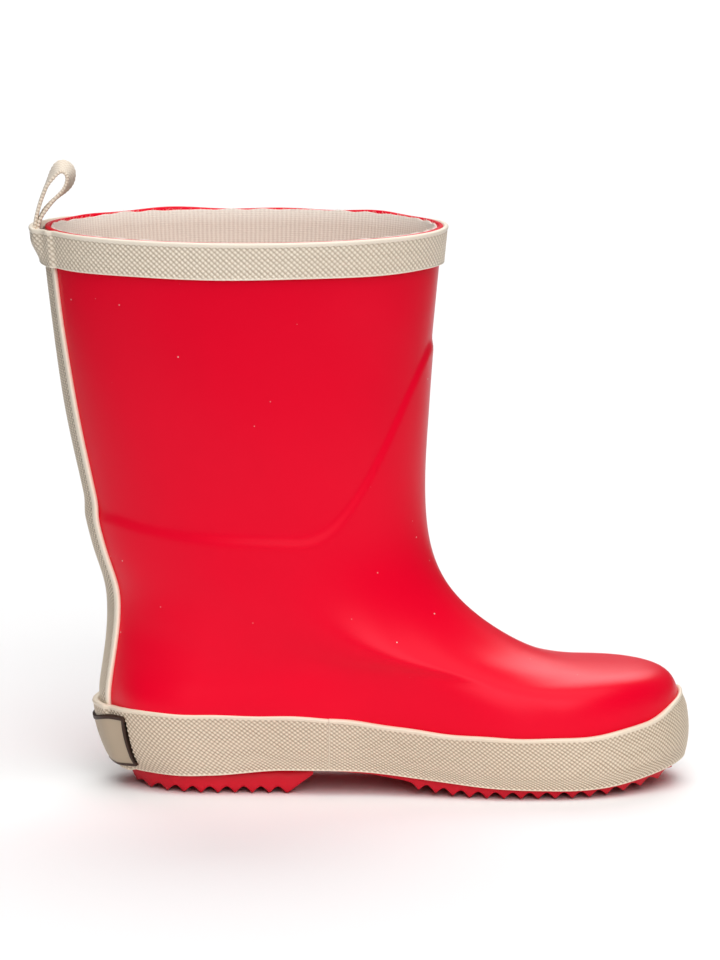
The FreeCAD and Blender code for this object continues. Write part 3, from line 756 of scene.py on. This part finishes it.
def joint_turn(t):
    """u where the strips meet, so that the joint stands upright."""
    low, high = np.full_like(t, 0.1), np.full_like(t, 0.45)
    for i in range(24):
        mid = (low + high) / 2
        past = skin(mid, t, 2.8)[:, 0] > JOINT_X
        high = np.where(past, mid, high)
        low = np.where(past, low, mid)
    return (low + high) / 2


JOINT_T = np.linspace(T_FLOOR - 1, T_FOXING + 1, 12)
JOINT_U = joint_turn(JOINT_T)
joint_u = float(np.interp((T_FLOOR + T_FOXING) / 2, JOINT_T, JOINT_U))


def foxing_strip(name, u_from, u_to, per_diamond):
    turns = np.linspace(u_from, u_to, 3000)
    path = skin(turns, np.full(3000, (T_FLOOR + T_FOXING) / 2), 2.8)
    walked = np.concatenate([[0], np.cumsum(np.linalg.norm(np.diff(path, axis=0), axis=1))])
    count = int(walked[-1] / KNURL_WIDE * per_diamond)
    arc = np.linspace(0, walked[-1], count)
    u = np.interp(arc, walked, turns)
    span = T_FOXING - T_FLOOR
    wavy = 0.22 * np.sin(arc / 9.0 + 1.0) + 0.12 * np.sin(arc / 3.7)
    from_back = np.minimum(np.abs(u), 1 - np.abs(u))
    toe_rise = (2.2 + 1.2 * ease((u - 0.47) / 0.06)) * ease((from_back - 0.42) / 0.07) if u_to > 0.5 else 0.0
    top = T_FOXING + (wavy + toe_rise)[:, None]
    face_rows = 76
    v = np.linspace(0, 1, face_rows)
    low_edge, bead = 0.3, 1.1
    t_face = T_FLOOR + low_edge + (top - bead - T_FLOOR - low_edge) * v
    a_face = arc[:, None] * np.ones_like(t_face)
    end_near = np.minimum(arc, walked[-1] - arc)[:, None] * np.ones_like(t_face)
    h = knurl(a_face, t_face, KNURL_WIDE, KNURL_HIGH)
    fade = (ease((t_face - T_FLOOR - low_edge) / 0.4) * ease((top - bead - t_face) / 0.35)
            * ease(end_near / 0.1))
    d_face = FOXING_THICK - 0.42 * fade * (1 - h)
    ones = np.ones((count, 1))
    t_bead = top + np.array([-1.0, -0.8, -0.5, -0.15, 0.02, 0.0, -0.2])
    d_bead = ones * np.array([1.98, 2.14, 2.2, 2.02, 1.6, 0.6, 0.05])
    t_back = T_FLOOR + span * np.array([0.75, 0.5, 0.25, 0.03]) * ones
    d_back = ones * np.zeros(4)
    t_foot = T_FLOOR + np.array([-0.02, 0.0, 0.18]) * ones
    d_foot = ones * np.array([0.3, 1.5, 1.9])
    t = np.concatenate([t_face, t_bead, t_back, t_foot], 1)
    d = np.concatenate([d_face, d_bead, d_back, d_foot], 1)
    tip = ease((from_back - 0.43) / 0.05)[:, None]
    d = np.where(d > 1.0, d - 0.9 * tip * ease((t - top + 6) / 6), d)
    # the cut ends are rounded over a little
    near = np.minimum(arc, walked[-1] - arc)[:, None] * np.ones_like(t)
    d = np.where(d > 1.0, d - 0.16 * (1 - rounding(near, 0.15)), d)
    d = np.where(d > 1.0, d - heel_tuck(u[:, None], t), d)
    x_here = np.interp(arc, walked, path[:, 0])
    lift = 1.5 * ease((x_here + 52) / 27) + 1.0 * ease((x_here - 5) / 30)
    t = t + lift[:, None] * ease((T_FLOOR + 8 - t) / 8)
    lean = np.interp(t, JOINT_T, JOINT_U) - joint_u
    uu = (u[:, None] + lean * ease(1 - np.abs(arc - walked[-1]) / 35)[:, None] * (1 if u_to < 0.5 else -1)
          + lean * ease(1 - arc / 35)[:, None] * (-1 if u_from < 0 else 1))
    # relief sets how much painted shade each groove of the knurl gets
    relief = np.concatenate([1 - fade * (1 - h), np.ones((count, 14))], 1)
    piece = laid_piece(name, uu, t, d + foxing_base(uu, t), False, arc[:, None], {"relief": relief})
    set_material(piece, cream_rubber)
    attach(piece, "boot")
    return piece


gap_u = 0.03 / 560   # part of a turn: leaves a few hundredths of a millimetre at each joint
heel_foxing = foxing_strip("foxing_tape_heel", -joint_u + gap_u, joint_u - gap_u, 6)
toe_foxing = foxing_strip("foxing_tape_toe", joint_u + gap_u, 1 - joint_u - gap_u, 6)
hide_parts("foxing_heel_strip")
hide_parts("foxing_toe_strip")

# ---- heel label ---------------------------------------------------------------------------
# Plain moulded rubber panel glued round the back of the foxing: a grey-beige field, no
# lettering, inside a narrow raised brown rim.
LABEL_HALF = 21.6
LABEL_THICK = 0.8
RIM = 1.25
label_low, label_high = T_FLOOR + 2.2, T_FOXING - 2.4
corner = 1.6
LABEL_TAPER = 0.125
label_a = np.concatenate([np.linspace(-LABEL_HALF, -LABEL_HALF + corner, 10),
                          np.linspace(-LABEL_HALF + corner, LABEL_HALF - corner, 120)[1:-1],
                          np.linspace(LABEL_HALF - corner, LABEL_HALF, 10)])
label_v = np.concatenate([np.linspace(0, 0.11, 10), np.linspace(0.11, 0.89, 24)[1:-1],
                          np.linspace(0.89, 1, 10)])
a_grid, v_grid = np.meshgrid(label_a, label_v, indexing="ij")
t_grid = label_low + (label_high - label_low) * v_grid
from_end = LABEL_HALF - np.abs(a_grid)
squeeze = corner * (1 - rounding(from_end, corner))
middle = (label_low + label_high) / 2
label_dip = 1.9 * ease((17 - np.abs(a_grid)) / 13) * ease((v_grid - 0.3) / 0.7)
t_grid = middle + (t_grid - middle) * (1 - squeeze / (label_high - label_low) * 2) - label_dip
edge_near = np.minimum(from_end, np.minimum(v_grid, 1 - v_grid) * (label_high - label_low))
rim_mask = ease((RIM - edge_near) / 0.12)
top_d = LABEL_THICK - 0.28 * (1 - rim_mask) - 0.25 * (1 - rounding(edge_near, 0.35))
under_t = np.stack([t_grid[:, -1], t_grid[:, 0]], 1)
under_a = np.stack([a_grid[:, -1], a_grid[:, 0]], 1)
t_all = np.concatenate([t_grid, under_t], 1)
a_all = np.concatenate([a_grid, under_a], 1)
u_all = a_all * (1 - LABEL_TAPER * (T_FOXING - t_all) / (T_FOXING - T_FLOOR)) / back_speed(t_all)
d_all = np.concatenate([top_d, np.full_like(under_t, -0.3)], 1)
d_all = d_all + GLUE + LAYER_THICK + GLUE + FOXING_THICK - heel_tuck(u_all, t_all)
d_all = d_all + (TAPE_THICK + GLUE) * ease((STRIP_HALF + 6.5 - np.abs(back_arc(u_all, t_all))) / 8)
rim_all = np.concatenate([rim_mask, np.ones_like(under_t)], 1)
label = laid_piece("heel_panel", u_all, t_all, d_all, False, a_all, {"rim": rim_all})
label_material, label_shader = new_material("label rubber")
tree = label_material.node_tree
surface = rubber_surface(tree, (0.50, 0.40, 0.29, 1), (0.40, 0.31, 0.22, 1), 0.5, 0.45, 0.1, 0.3, 1500.0)
rim_node = node(tree, "ShaderNodeAttribute", attribute_name="rim")
rim_mix = node(tree, "ShaderNodeMix", data_type="RGBA")
rim_mix.inputs[7].default_value = (0.045, 0.02, 0.012, 1)
tree.links.new(rim_node.outputs["Fac"], rim_mix.inputs["Factor"])
tree.links.new(surface.outputs["Color"], rim_mix.inputs[6])
tree.links.new(rim_mix.outputs[2], label_shader.inputs["Base Color"])
tree.links.new(surface.outputs["Roughness"], label_shader.inputs["Roughness"])
label_bump = node(tree, "ShaderNodeBump", in_Strength=0.15, in_Distance=0.0002)
tree.links.new(surface.outputs["Height"], label_bump.inputs["Height"])
tree.links.new(label_bump.outputs[0], label_shader.inputs["Normal"])
label_shader.inputs["Specular IOR Level"].default_value = 0.22
set_material(label, label_material)
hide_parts("heel_label")
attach(label, "boot")

# ---- outsole and heel block ---------------------------------------------------------------
# Dark red moulded rubber.  The forefoot and the heel are ribbed straight across with blunt
# triangular ridges, 5.5 mm apart; the arch is plain.
TOOTH_PITCH = 5.5
TOOTH_DEPTH = 2.1
tread_z = over_x([(-90, 0), (0, 3.4), (18, 2.0), (28, 0.6), (40, 0), (58, 0), (72, 0), (84, 0.9),
                  (94, 2.4), (103, 5.0), (110, 7.4)])


def ridge_profile(x, first):
    """Depth 0..1 of the ridges at x: narrow crests worn a little blunt, rounded valleys."""
    phase = ((x - first) / TOOTH_PITCH) % 1.0
    away = np.minimum(phase, 1 - phase) * 2
    return 1 - (1 - np.clip((away - 0.07) / 0.93, 0, 1)) ** 1.55


def sole_outline(xs, inset):
    """Half-outlines of the wall at a ladder of heights: y for every x, outer and inner side."""
    ladder_t = np.linspace(0, 48, 97)
    turns = np.linspace(0.0, 0.5, 400)
    edge_z = np.linspace(-1.5, 22, 24)
    sides = []
    for us in (turns, 1 - turns):
        u_grid, t_grid = np.meshgrid(us, ladder_t, indexing="ij")
        wall = skin(u_grid, t_grid, -inset)
        lines = []
        for z in edge_z:
            x_at = np.array([np.interp(z, w[:, 2], w[:, 0]) for w in wall])
            y_at = np.array([np.interp(z, w[:, 2], w[:, 1]) for w in wall])
            lines.append(np.interp(xs, x_at, y_at, left=np.nan, right=np.nan))
        sides.append(np.array(lines))
    return edge_z, sides


def read_side(xs, z, edge_z, side):
    """Half-outline y at height z for every x."""
    k = np.clip((z - edge_z[0]) / (edge_z[1] - edge_z[0]), 0, len(edge_z) - 1.001)
    i = k.astype(int)
    f = k - i
    col = np.arange(len(xs))
    return side[i, col] * (1 - f) + side[i + 1, col] * f


def sole_mesh(name, x_from, x_to, bottom, top, x_step=0.4, inset=GLUE, round_edge=0.35):
    xs = np.linspace(x_from, x_to, int((x_to - x_from) / x_step) + 1)
    low, high = bottom(xs), top(xs)
    edge_z, (outer, inner) = sole_outline(xs, inset)
    section_y, section_z = [], []
    across_n = 26
    wall = np.array([0.18, 0.5, 1.0])
    y_out_low = read_side(xs, low, edge_z, outer)
    y_in_low = read_side(xs, low, edge_z, inner)
    for k in range(across_n + 1):
        f = k / across_n
        y = y_out_low + (y_in_low - y_out_low) * f
        near = np.minimum(np.abs(y - y_out_low), np.abs(y - y_in_low))
        lift = round_edge * (1 - rounding(near, round_edge))
        section_y.append(y)
        section_z.append(low + lift)
    for w in wall:
        z = low + round_edge + (high - low - round_edge) * w
        section_y.append(read_side(xs, z, edge_z, inner))
        section_z.append(z)
    for w in wall[::-1]:
        z = low + round_edge + (high - low - round_edge) * w
        section_y.append(read_side(xs, z, edge_z, outer))
        section_z.append(z)
    y = np.array(section_y).T
    z = np.array(section_z).T
    good = ~np.isnan(y).any(1) & (high - low > round_edge)
    keep = np.where(good)[0]
    x = xs[keep][:, None] * np.ones((1, y.shape[1]))
    points = np.stack([x, y[keep], z[keep]], -1)
    n, m = points.shape[:2]
    faces = [f[::-1] for f in wrap_faces(n, m, False)]
    uv = np.stack([points[..., 0], points[..., 1]], -1) * MM
    return add_mesh(name, points, faces, uv)


def forefoot_bottom(x):
    arch = np.interp(x, [-90, -12, 4, 14, 16.3], [7.9, 7.9, 6.6, 4.9, 4.3])
    line = np.where((x > 34) & (x < 76), 0.0, tread_z(x))
    ridged = line + TOOTH_DEPTH * ridge_profile(x, 19.0)
    return np.where(x < 16.3, arch, ridged)


outsole = sole_mesh("outsole_tread", -77.0, 101.9, forefoot_bottom,
                    lambda x: floor_z(x) + SOLE_SHEET - GLUE, inset=-0.75)


RIDGES_END, BREAST_X = -23.5, -23.1


def heel_bottom(x):
    ridged = TOOTH_DEPTH * ridge_profile(x, -73.0)
    breast = (x - BREAST_X) / 8.5 * 6.6
    back = np.clip((-71.5 - x) * 1.6, 0, 6.2)
    front = np.maximum(np.maximum(breast, 0), np.where(x < BREAST_X, ridged, 0))
    return np.where(x < RIDGES_END, np.maximum(ridged, back), front)


heel_block = sole_mesh("heel_lift", -76.0, -14.9, heel_bottom, lambda x: np.full_like(x, 7.85))
sole_rubber, sole_shader = rubber_material("sole rubber", (0.66, 0.002, 0.018, 1),
                                           (0.50, 0.001, 0.012, 1), 0.5, 0.5, 0.12, 0.25, 1100.0, 0.25)
sole_shader.inputs["Specular IOR Level"].default_value = 0.3
for piece, cad in ((outsole, "outsole"), (heel_block, "heel_block")):
    set_material(piece, sole_rubber)
    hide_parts(cad)
    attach(piece, "boot")

# ---- pull loop ----------------------------------------------------------------------------
# One length of cream cotton webbing, 11 mm wide and 1.1 mm thick, folded double.  Its two
# ends are glued between the back strip and the collar band; the fold stands up as a loop
# that leans to the toe and twists a little, so its flat shows from the side.
hinge = next(j for j in frame["record"]["behaviour"]["joints"] if j["name"] == "loop_bend")
axis_x = hinge["pos_m"][0] / MM - shift_x
axis_z = hinge["pos_m"][2] / MM
tail_x = skin(0.0, T_TOP - 4, GLUE * 2 + TAPE_THICK + WEB_THICK)[0] - axis_x
# centre line, millimetres from the hinge: outer ply up, round the top, inner ply down
loop_line = np.array([
    (tail_x * 0.7 - 0.35, -9.2), (-0.62, -4.5), (-0.42, -1.0), (0.05, 1.6), (1.05, 5.2),
    (2.8, 10.0), (5.2, 14.6), (8.0, 17.0), (10.2, 15.9), (10.8, 12.9), (9.2, 9.5),
    (6.4, 6.9), (3.5, 3.9), (1.8, 1.6),
    (0.72, -1.0), (0.58, -4.5), (tail_x * 0.7 + 0.8, -9.2)])
steps = np.concatenate([[0], np.cumsum(np.linalg.norm(np.diff(loop_line, axis=0), axis=1))])
loop_slopes = smooth_slopes(steps) @ loop_line
along = np.linspace(0, steps[-1], 460)
values = np.repeat(loop_line[:, None], len(along), 1)
slopes = np.repeat(loop_slopes[:, None], len(along), 1)
centre, tangent = hermite(steps, values, slopes, along)
tangent = tangent / np.linalg.norm(tangent, axis=1)[:, None]
twist = math.radians(11) * ease((centre[:, 1] - 2) / 10) * ease((along - 20) / 8)
swing_y = -0.9 * ease((centre[:, 1] - 4) / 12)
half_w, half_t = WEB_HALF, WEB_THICK / 2 - 0.03
width_n = 30
across_w = np.linspace(-1, 1, width_n)
section = ([(w, 1) for w in across_w] + [(1.02, 0.0)]
           + [(w, -1) for w in across_w[::-1]] + [(-1.02, 0.0)])
points = np.zeros((len(along), len(section), 3))
weave = np.zeros((len(along), len(section)))
for j, (w, face) in enumerate(section):
    wale = np.sin(np.pi * (w + 1) / 2 * 9)
    weft = np.sin(2 * np.pi * along / 1.15 + (np.pi if int((w + 1) / 2 * 9) % 2 else 0))
    lift = 0.10 * weft * abs(wale) + 0.04 * abs(wale)
    edge_wave = 0.14 * np.sin(2 * np.pi * along / 1.15) * (abs(w) > 0.97)
    thick = half_t * (face if abs(w) < 0.97 else face * 0.7) + lift * face
    side = (half_w * w) + edge_wave * np.sign(w)
    flat = np.stack([np.cos(twist) * 0, np.cos(twist), np.zeros_like(twist)], 1)
    normal = np.stack([-tangent[:, 1], np.zeros(len(along)), tangent[:, 0]], 1)
    along3 = np.stack([tangent[:, 0], np.zeros(len(along)), tangent[:, 1]], 1)
    wide = flat + np.sin(twist)[:, None] * normal
    out = np.cross(along3, wide)
    points[:, j, 0] = axis_x + centre[:, 0] + wide[:, 0] * side + out[:, 0] * thick
    points[:, j, 1] = swing_y + wide[:, 1] * side + out[:, 1] * thick
    points[:, j, 2] = axis_z + centre[:, 1] + wide[:, 2] * side + out[:, 2] * thick
    # weave is high where the yarn stands up and low where it sinks; the low yarn gets painted shade
    weave[:, j] = 0.5 + 0.5 * weft * abs(wale)
n, m = points.shape[:2]
from_middle = np.array([w for w, face in section]) * half_w
uv = np.stack(np.broadcast_arrays(along[:, None], from_middle[None]), -1) * MM
strap = add_mesh("pull_strap", points, [f[::-1] for f in wrap_faces(n, m, False)], uv,
                 {"weave": weave})
web_material, web_shader = new_material("cotton webbing")
tree = web_material.node_tree
weave_node = node(tree, "ShaderNodeAttribute", attribute_name="weave")
web_noise = node(tree, "ShaderNodeTexNoise", in_Scale=1800.0, in_Detail=3.0)
web_place = node(tree, "ShaderNodeTexCoord")
tree.links.new(web_place.outputs["Object"], web_noise.inputs["Vector"])
# painted shade: the webbing darkens towards (0.74, 0.61, 0.47) where its weave sinks
web_mix = node(tree, "ShaderNodeMix", data_type="RGBA")
web_mix.inputs[6].default_value = (0.74, 0.61, 0.47, 1)
web_mix.inputs[7].default_value = (0.95, 0.85, 0.72, 1)
tree.links.new(weave_node.outputs["Fac"], web_mix.inputs["Factor"])
tree.links.new(web_mix.outputs[2], web_shader.inputs["Base Color"])
web_bump = node(tree, "ShaderNodeBump", in_Strength=0.5, in_Distance=0.0002)
tree.links.new(web_noise.outputs["Fac"], web_bump.inputs["Height"])
tree.links.new(web_bump.outputs[0], web_shader.inputs["Normal"])
web_shader.inputs["Roughness"].default_value = 0.85
web_shader.inputs["Sheen Weight"].default_value = 0.2
set_material(strap, web_material)
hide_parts("pull_loop", "pull_loop_tails")
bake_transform(strap)

# ---- insole -------------------------------------------------------------------------------
# Loose foam sock, 3 mm thick, faced with the lining's cotton; edges rounded over, a shallow
# hollow under the heel.
board_lift = over_x([(-90, 3.2), (-40, 3.2), (0, 2.4), (30, 1.6), (110, 1.4)])


def insole_low(x):
    return floor_z(x) + SOLE_SHEET + board_lift(x) + 1.4 + 0.4


def insole_top(x):
    return insole_low(x) + 3.0


insole_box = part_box("insole")
insole = sole_mesh("insole_sock", insole_box[0][0] / MM - shift_x + 0.1,
                   insole_box[1][0] / MM - shift_x - 0.1, insole_low, insole_top, 1.2, 3.76, 0.5)
insole_material, insole_shader = new_material("insole cloth")
tree = insole_material.node_tree
cloth_place = node(tree, "ShaderNodeTexCoord")
cloth_noise = node(tree, "ShaderNodeTexNoise", in_Scale=700.0, in_Detail=4.0)
cloth_weave = node(tree, "ShaderNodeTexWave", wave_type="BANDS", bands_direction="X",
                   in_Scale=260.0, in_Distortion=1.5)
tree.links.new(cloth_place.outputs["Object"], cloth_noise.inputs["Vector"])
tree.links.new(cloth_place.outputs["Object"], cloth_weave.inputs["Vector"])
cloth_mix = node(tree, "ShaderNodeMix", data_type="RGBA")
cloth_mix.inputs[6].default_value = (0.66, 0.50, 0.43, 1)
cloth_mix.inputs[7].default_value = (0.80, 0.66, 0.58, 1)
tree.links.new(cloth_weave.outputs["Fac"], cloth_mix.inputs["Factor"])
tree.links.new(cloth_mix.outputs[2], insole_shader.inputs["Base Color"])
cloth_bump = node(tree, "ShaderNodeBump", in_Strength=0.5, in_Distance=0.0003)
tree.links.new(cloth_noise.outputs["Fac"], cloth_bump.inputs["Height"])
tree.links.new(cloth_bump.outputs[0], insole_shader.inputs["Normal"])
insole_shader.inputs["Roughness"].default_value = 0.92
set_material(insole, insole_material)
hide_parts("insole")
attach(insole, "insole")

# ---- hidden pieces that keep their CAD shape ----------------------------------------------
# Rubber-coated cotton between lining and upper, the fibre board, the sponge rubber under it
# and the steel shank: each gets its own stuff.


def plain_stuff(name, low_color, high_color, scale, roughness, metallic=0.0, stretch=(1, 1, 1), bump=0.3):
    """Material whose colour, roughness and height follow one noise."""
    material, shader = new_material(name)
    tree = material.node_tree
    place = node(tree, "ShaderNodeTexCoord")
    pull = node(tree, "ShaderNodeMapping")
    pull.inputs["Scale"].default_value = stretch
    noise = node(tree, "ShaderNodeTexNoise", in_Scale=scale, in_Detail=5.0)
    tree.links.new(place.outputs["Object"], pull.inputs[0])
    tree.links.new(pull.outputs[0], noise.inputs["Vector"])
    mix = node(tree, "ShaderNodeMix", data_type="RGBA")
    mix.inputs[6].default_value = low_color
    mix.inputs[7].default_value = high_color
    tree.links.new(noise.outputs["Fac"], mix.inputs["Factor"])
    tree.links.new(mix.outputs[2], shader.inputs["Base Color"])
    rough = node(tree, "ShaderNodeMapRange", in_3=roughness - 0.1, in_4=roughness + 0.1)
    tree.links.new(noise.outputs["Fac"], rough.inputs[0])
    tree.links.new(rough.outputs[0], shader.inputs["Roughness"])
    height = node(tree, "ShaderNodeBump", in_Strength=bump, in_Distance=0.0003)
    tree.links.new(noise.outputs["Fac"], height.inputs["Height"])
    tree.links.new(height.outputs[0], shader.inputs["Normal"])
    shader.inputs["Metallic"].default_value = metallic
    return material


coated = plain_stuff("coated cotton", (0.40, 0.34, 0.27, 1), (0.62, 0.56, 0.46, 1), 900.0, 0.8)
board = plain_stuff("fibre board", (0.36, 0.27, 0.18, 1), (0.58, 0.46, 0.33, 1), 500.0, 0.85)
sponge = plain_stuff("sponge rubber", (0.22, 0.19, 0.16, 1), (0.42, 0.37, 0.31, 1), 700.0, 0.9, bump=0.8)
steel = plain_stuff("strip steel", (0.45, 0.45, 0.46, 1), (0.62, 0.62, 0.63, 1), 400.0, 0.35,
                    1.0, (0.1, 1, 1))
for cad, material in (("ankle_reinforcement", coated), ("toe_reinforcement", coated),
                      ("heel_counter", coated), ("insole_board", board),
                      ("sole_filler", sponge), ("shank", steel)):
    set_material(frame["nodes"][cad], material)

# ---- stand, light and camera --------------------------------------------------------------
# A pale table top, soft light from above, in front and behind, and a long lens.  The camera
# sees a brighter backdrop than the faint fill that lights the boot.
floor_mesh = bpy.data.meshes.new("floor")
side, near, far = 0.45, 0.40, 3.0
corners = [(-side, -near, 0), (side, -near, 0), (side, far, 0), (-side, far, 0)]
floor_mesh.from_pydata(corners, [], [(0, 1, 2, 3)])
floor = bpy.data.objects.new("floor", floor_mesh)
bpy.context.collection.objects.link(floor)
floor_material, floor_shader = new_material("pale floor")
floor_shader.inputs["Base Color"].default_value = (0.95, 0.95, 0.95, 1)
floor_shader.inputs["Roughness"].default_value = 0.8
set_material(floor, floor_material)

world = bpy.data.worlds.new("studio")
bpy.context.scene.world = world
world.use_nodes = True
tree = world.node_tree
fill_light = tree.nodes["Background"]
fill_light.inputs["Color"].default_value = (1.0, 1.0, 1.0, 1)
fill_light.inputs["Strength"].default_value = 0.07
backdrop = node(tree, "ShaderNodeBackground", in_Color=(1.0, 1.0, 1.0, 1), in_Strength=0.92)
ray = node(tree, "ShaderNodeLightPath")
either = node(tree, "ShaderNodeMixShader")
tree.links.new(ray.outputs["Is Camera Ray"], either.inputs[0])
tree.links.new(fill_light.outputs[0], either.inputs[1])
tree.links.new(backdrop.outputs[0], either.inputs[2])
tree.links.new(either.outputs[0], tree.nodes["World Output"].inputs["Surface"])


def sun_light(name, elevation, azimuth, strength, softness):
    """Far soft source; azimuth is measured from the viewer's side towards the toe."""
    light = bpy.data.lights.new(name, "SUN")
    light.energy = strength
    light.angle = math.radians(softness)
    lamp = bpy.data.objects.new(name, light)
    bpy.context.collection.objects.link(lamp)
    up, around = math.radians(elevation), math.radians(azimuth)
    toward = Vector((math.sin(around) * math.cos(up), -math.cos(around) * math.cos(up), math.sin(up)))
    lamp.rotation_euler = (-toward).to_track_quat("-Z", "Y").to_euler()
    return lamp


sun_light("overhead light", 66, 15, 2.0, 60)
sun_light("front light", 27, 8, 1.25, 34)
sun_light("back light", 46, 178, 1.3, 44)

camera_data = bpy.data.cameras.new("camera")
camera = bpy.data.objects.new("camera", camera_data)
bpy.context.collection.objects.link(camera)
azimuth, elevation, distance = math.radians(-0.76), math.radians(9.77), 3.774
aim = Vector((0, 0, 0.0985))
look = Vector((math.sin(azimuth) * math.cos(elevation), math.cos(azimuth) * math.cos(elevation),
               -math.sin(elevation)))
camera.location = aim - look * distance
camera.rotation_euler = look.to_track_quat("-Z", "Y").to_euler()
camera_data.sensor_fit = "HORIZONTAL"
camera_data.sensor_width = 36.0
camera_data.lens = 585.46
camera_data.clip_end = 50
bpy.context.scene.camera = camera
bpy.context.scene.view_settings.view_transform = "Standard"
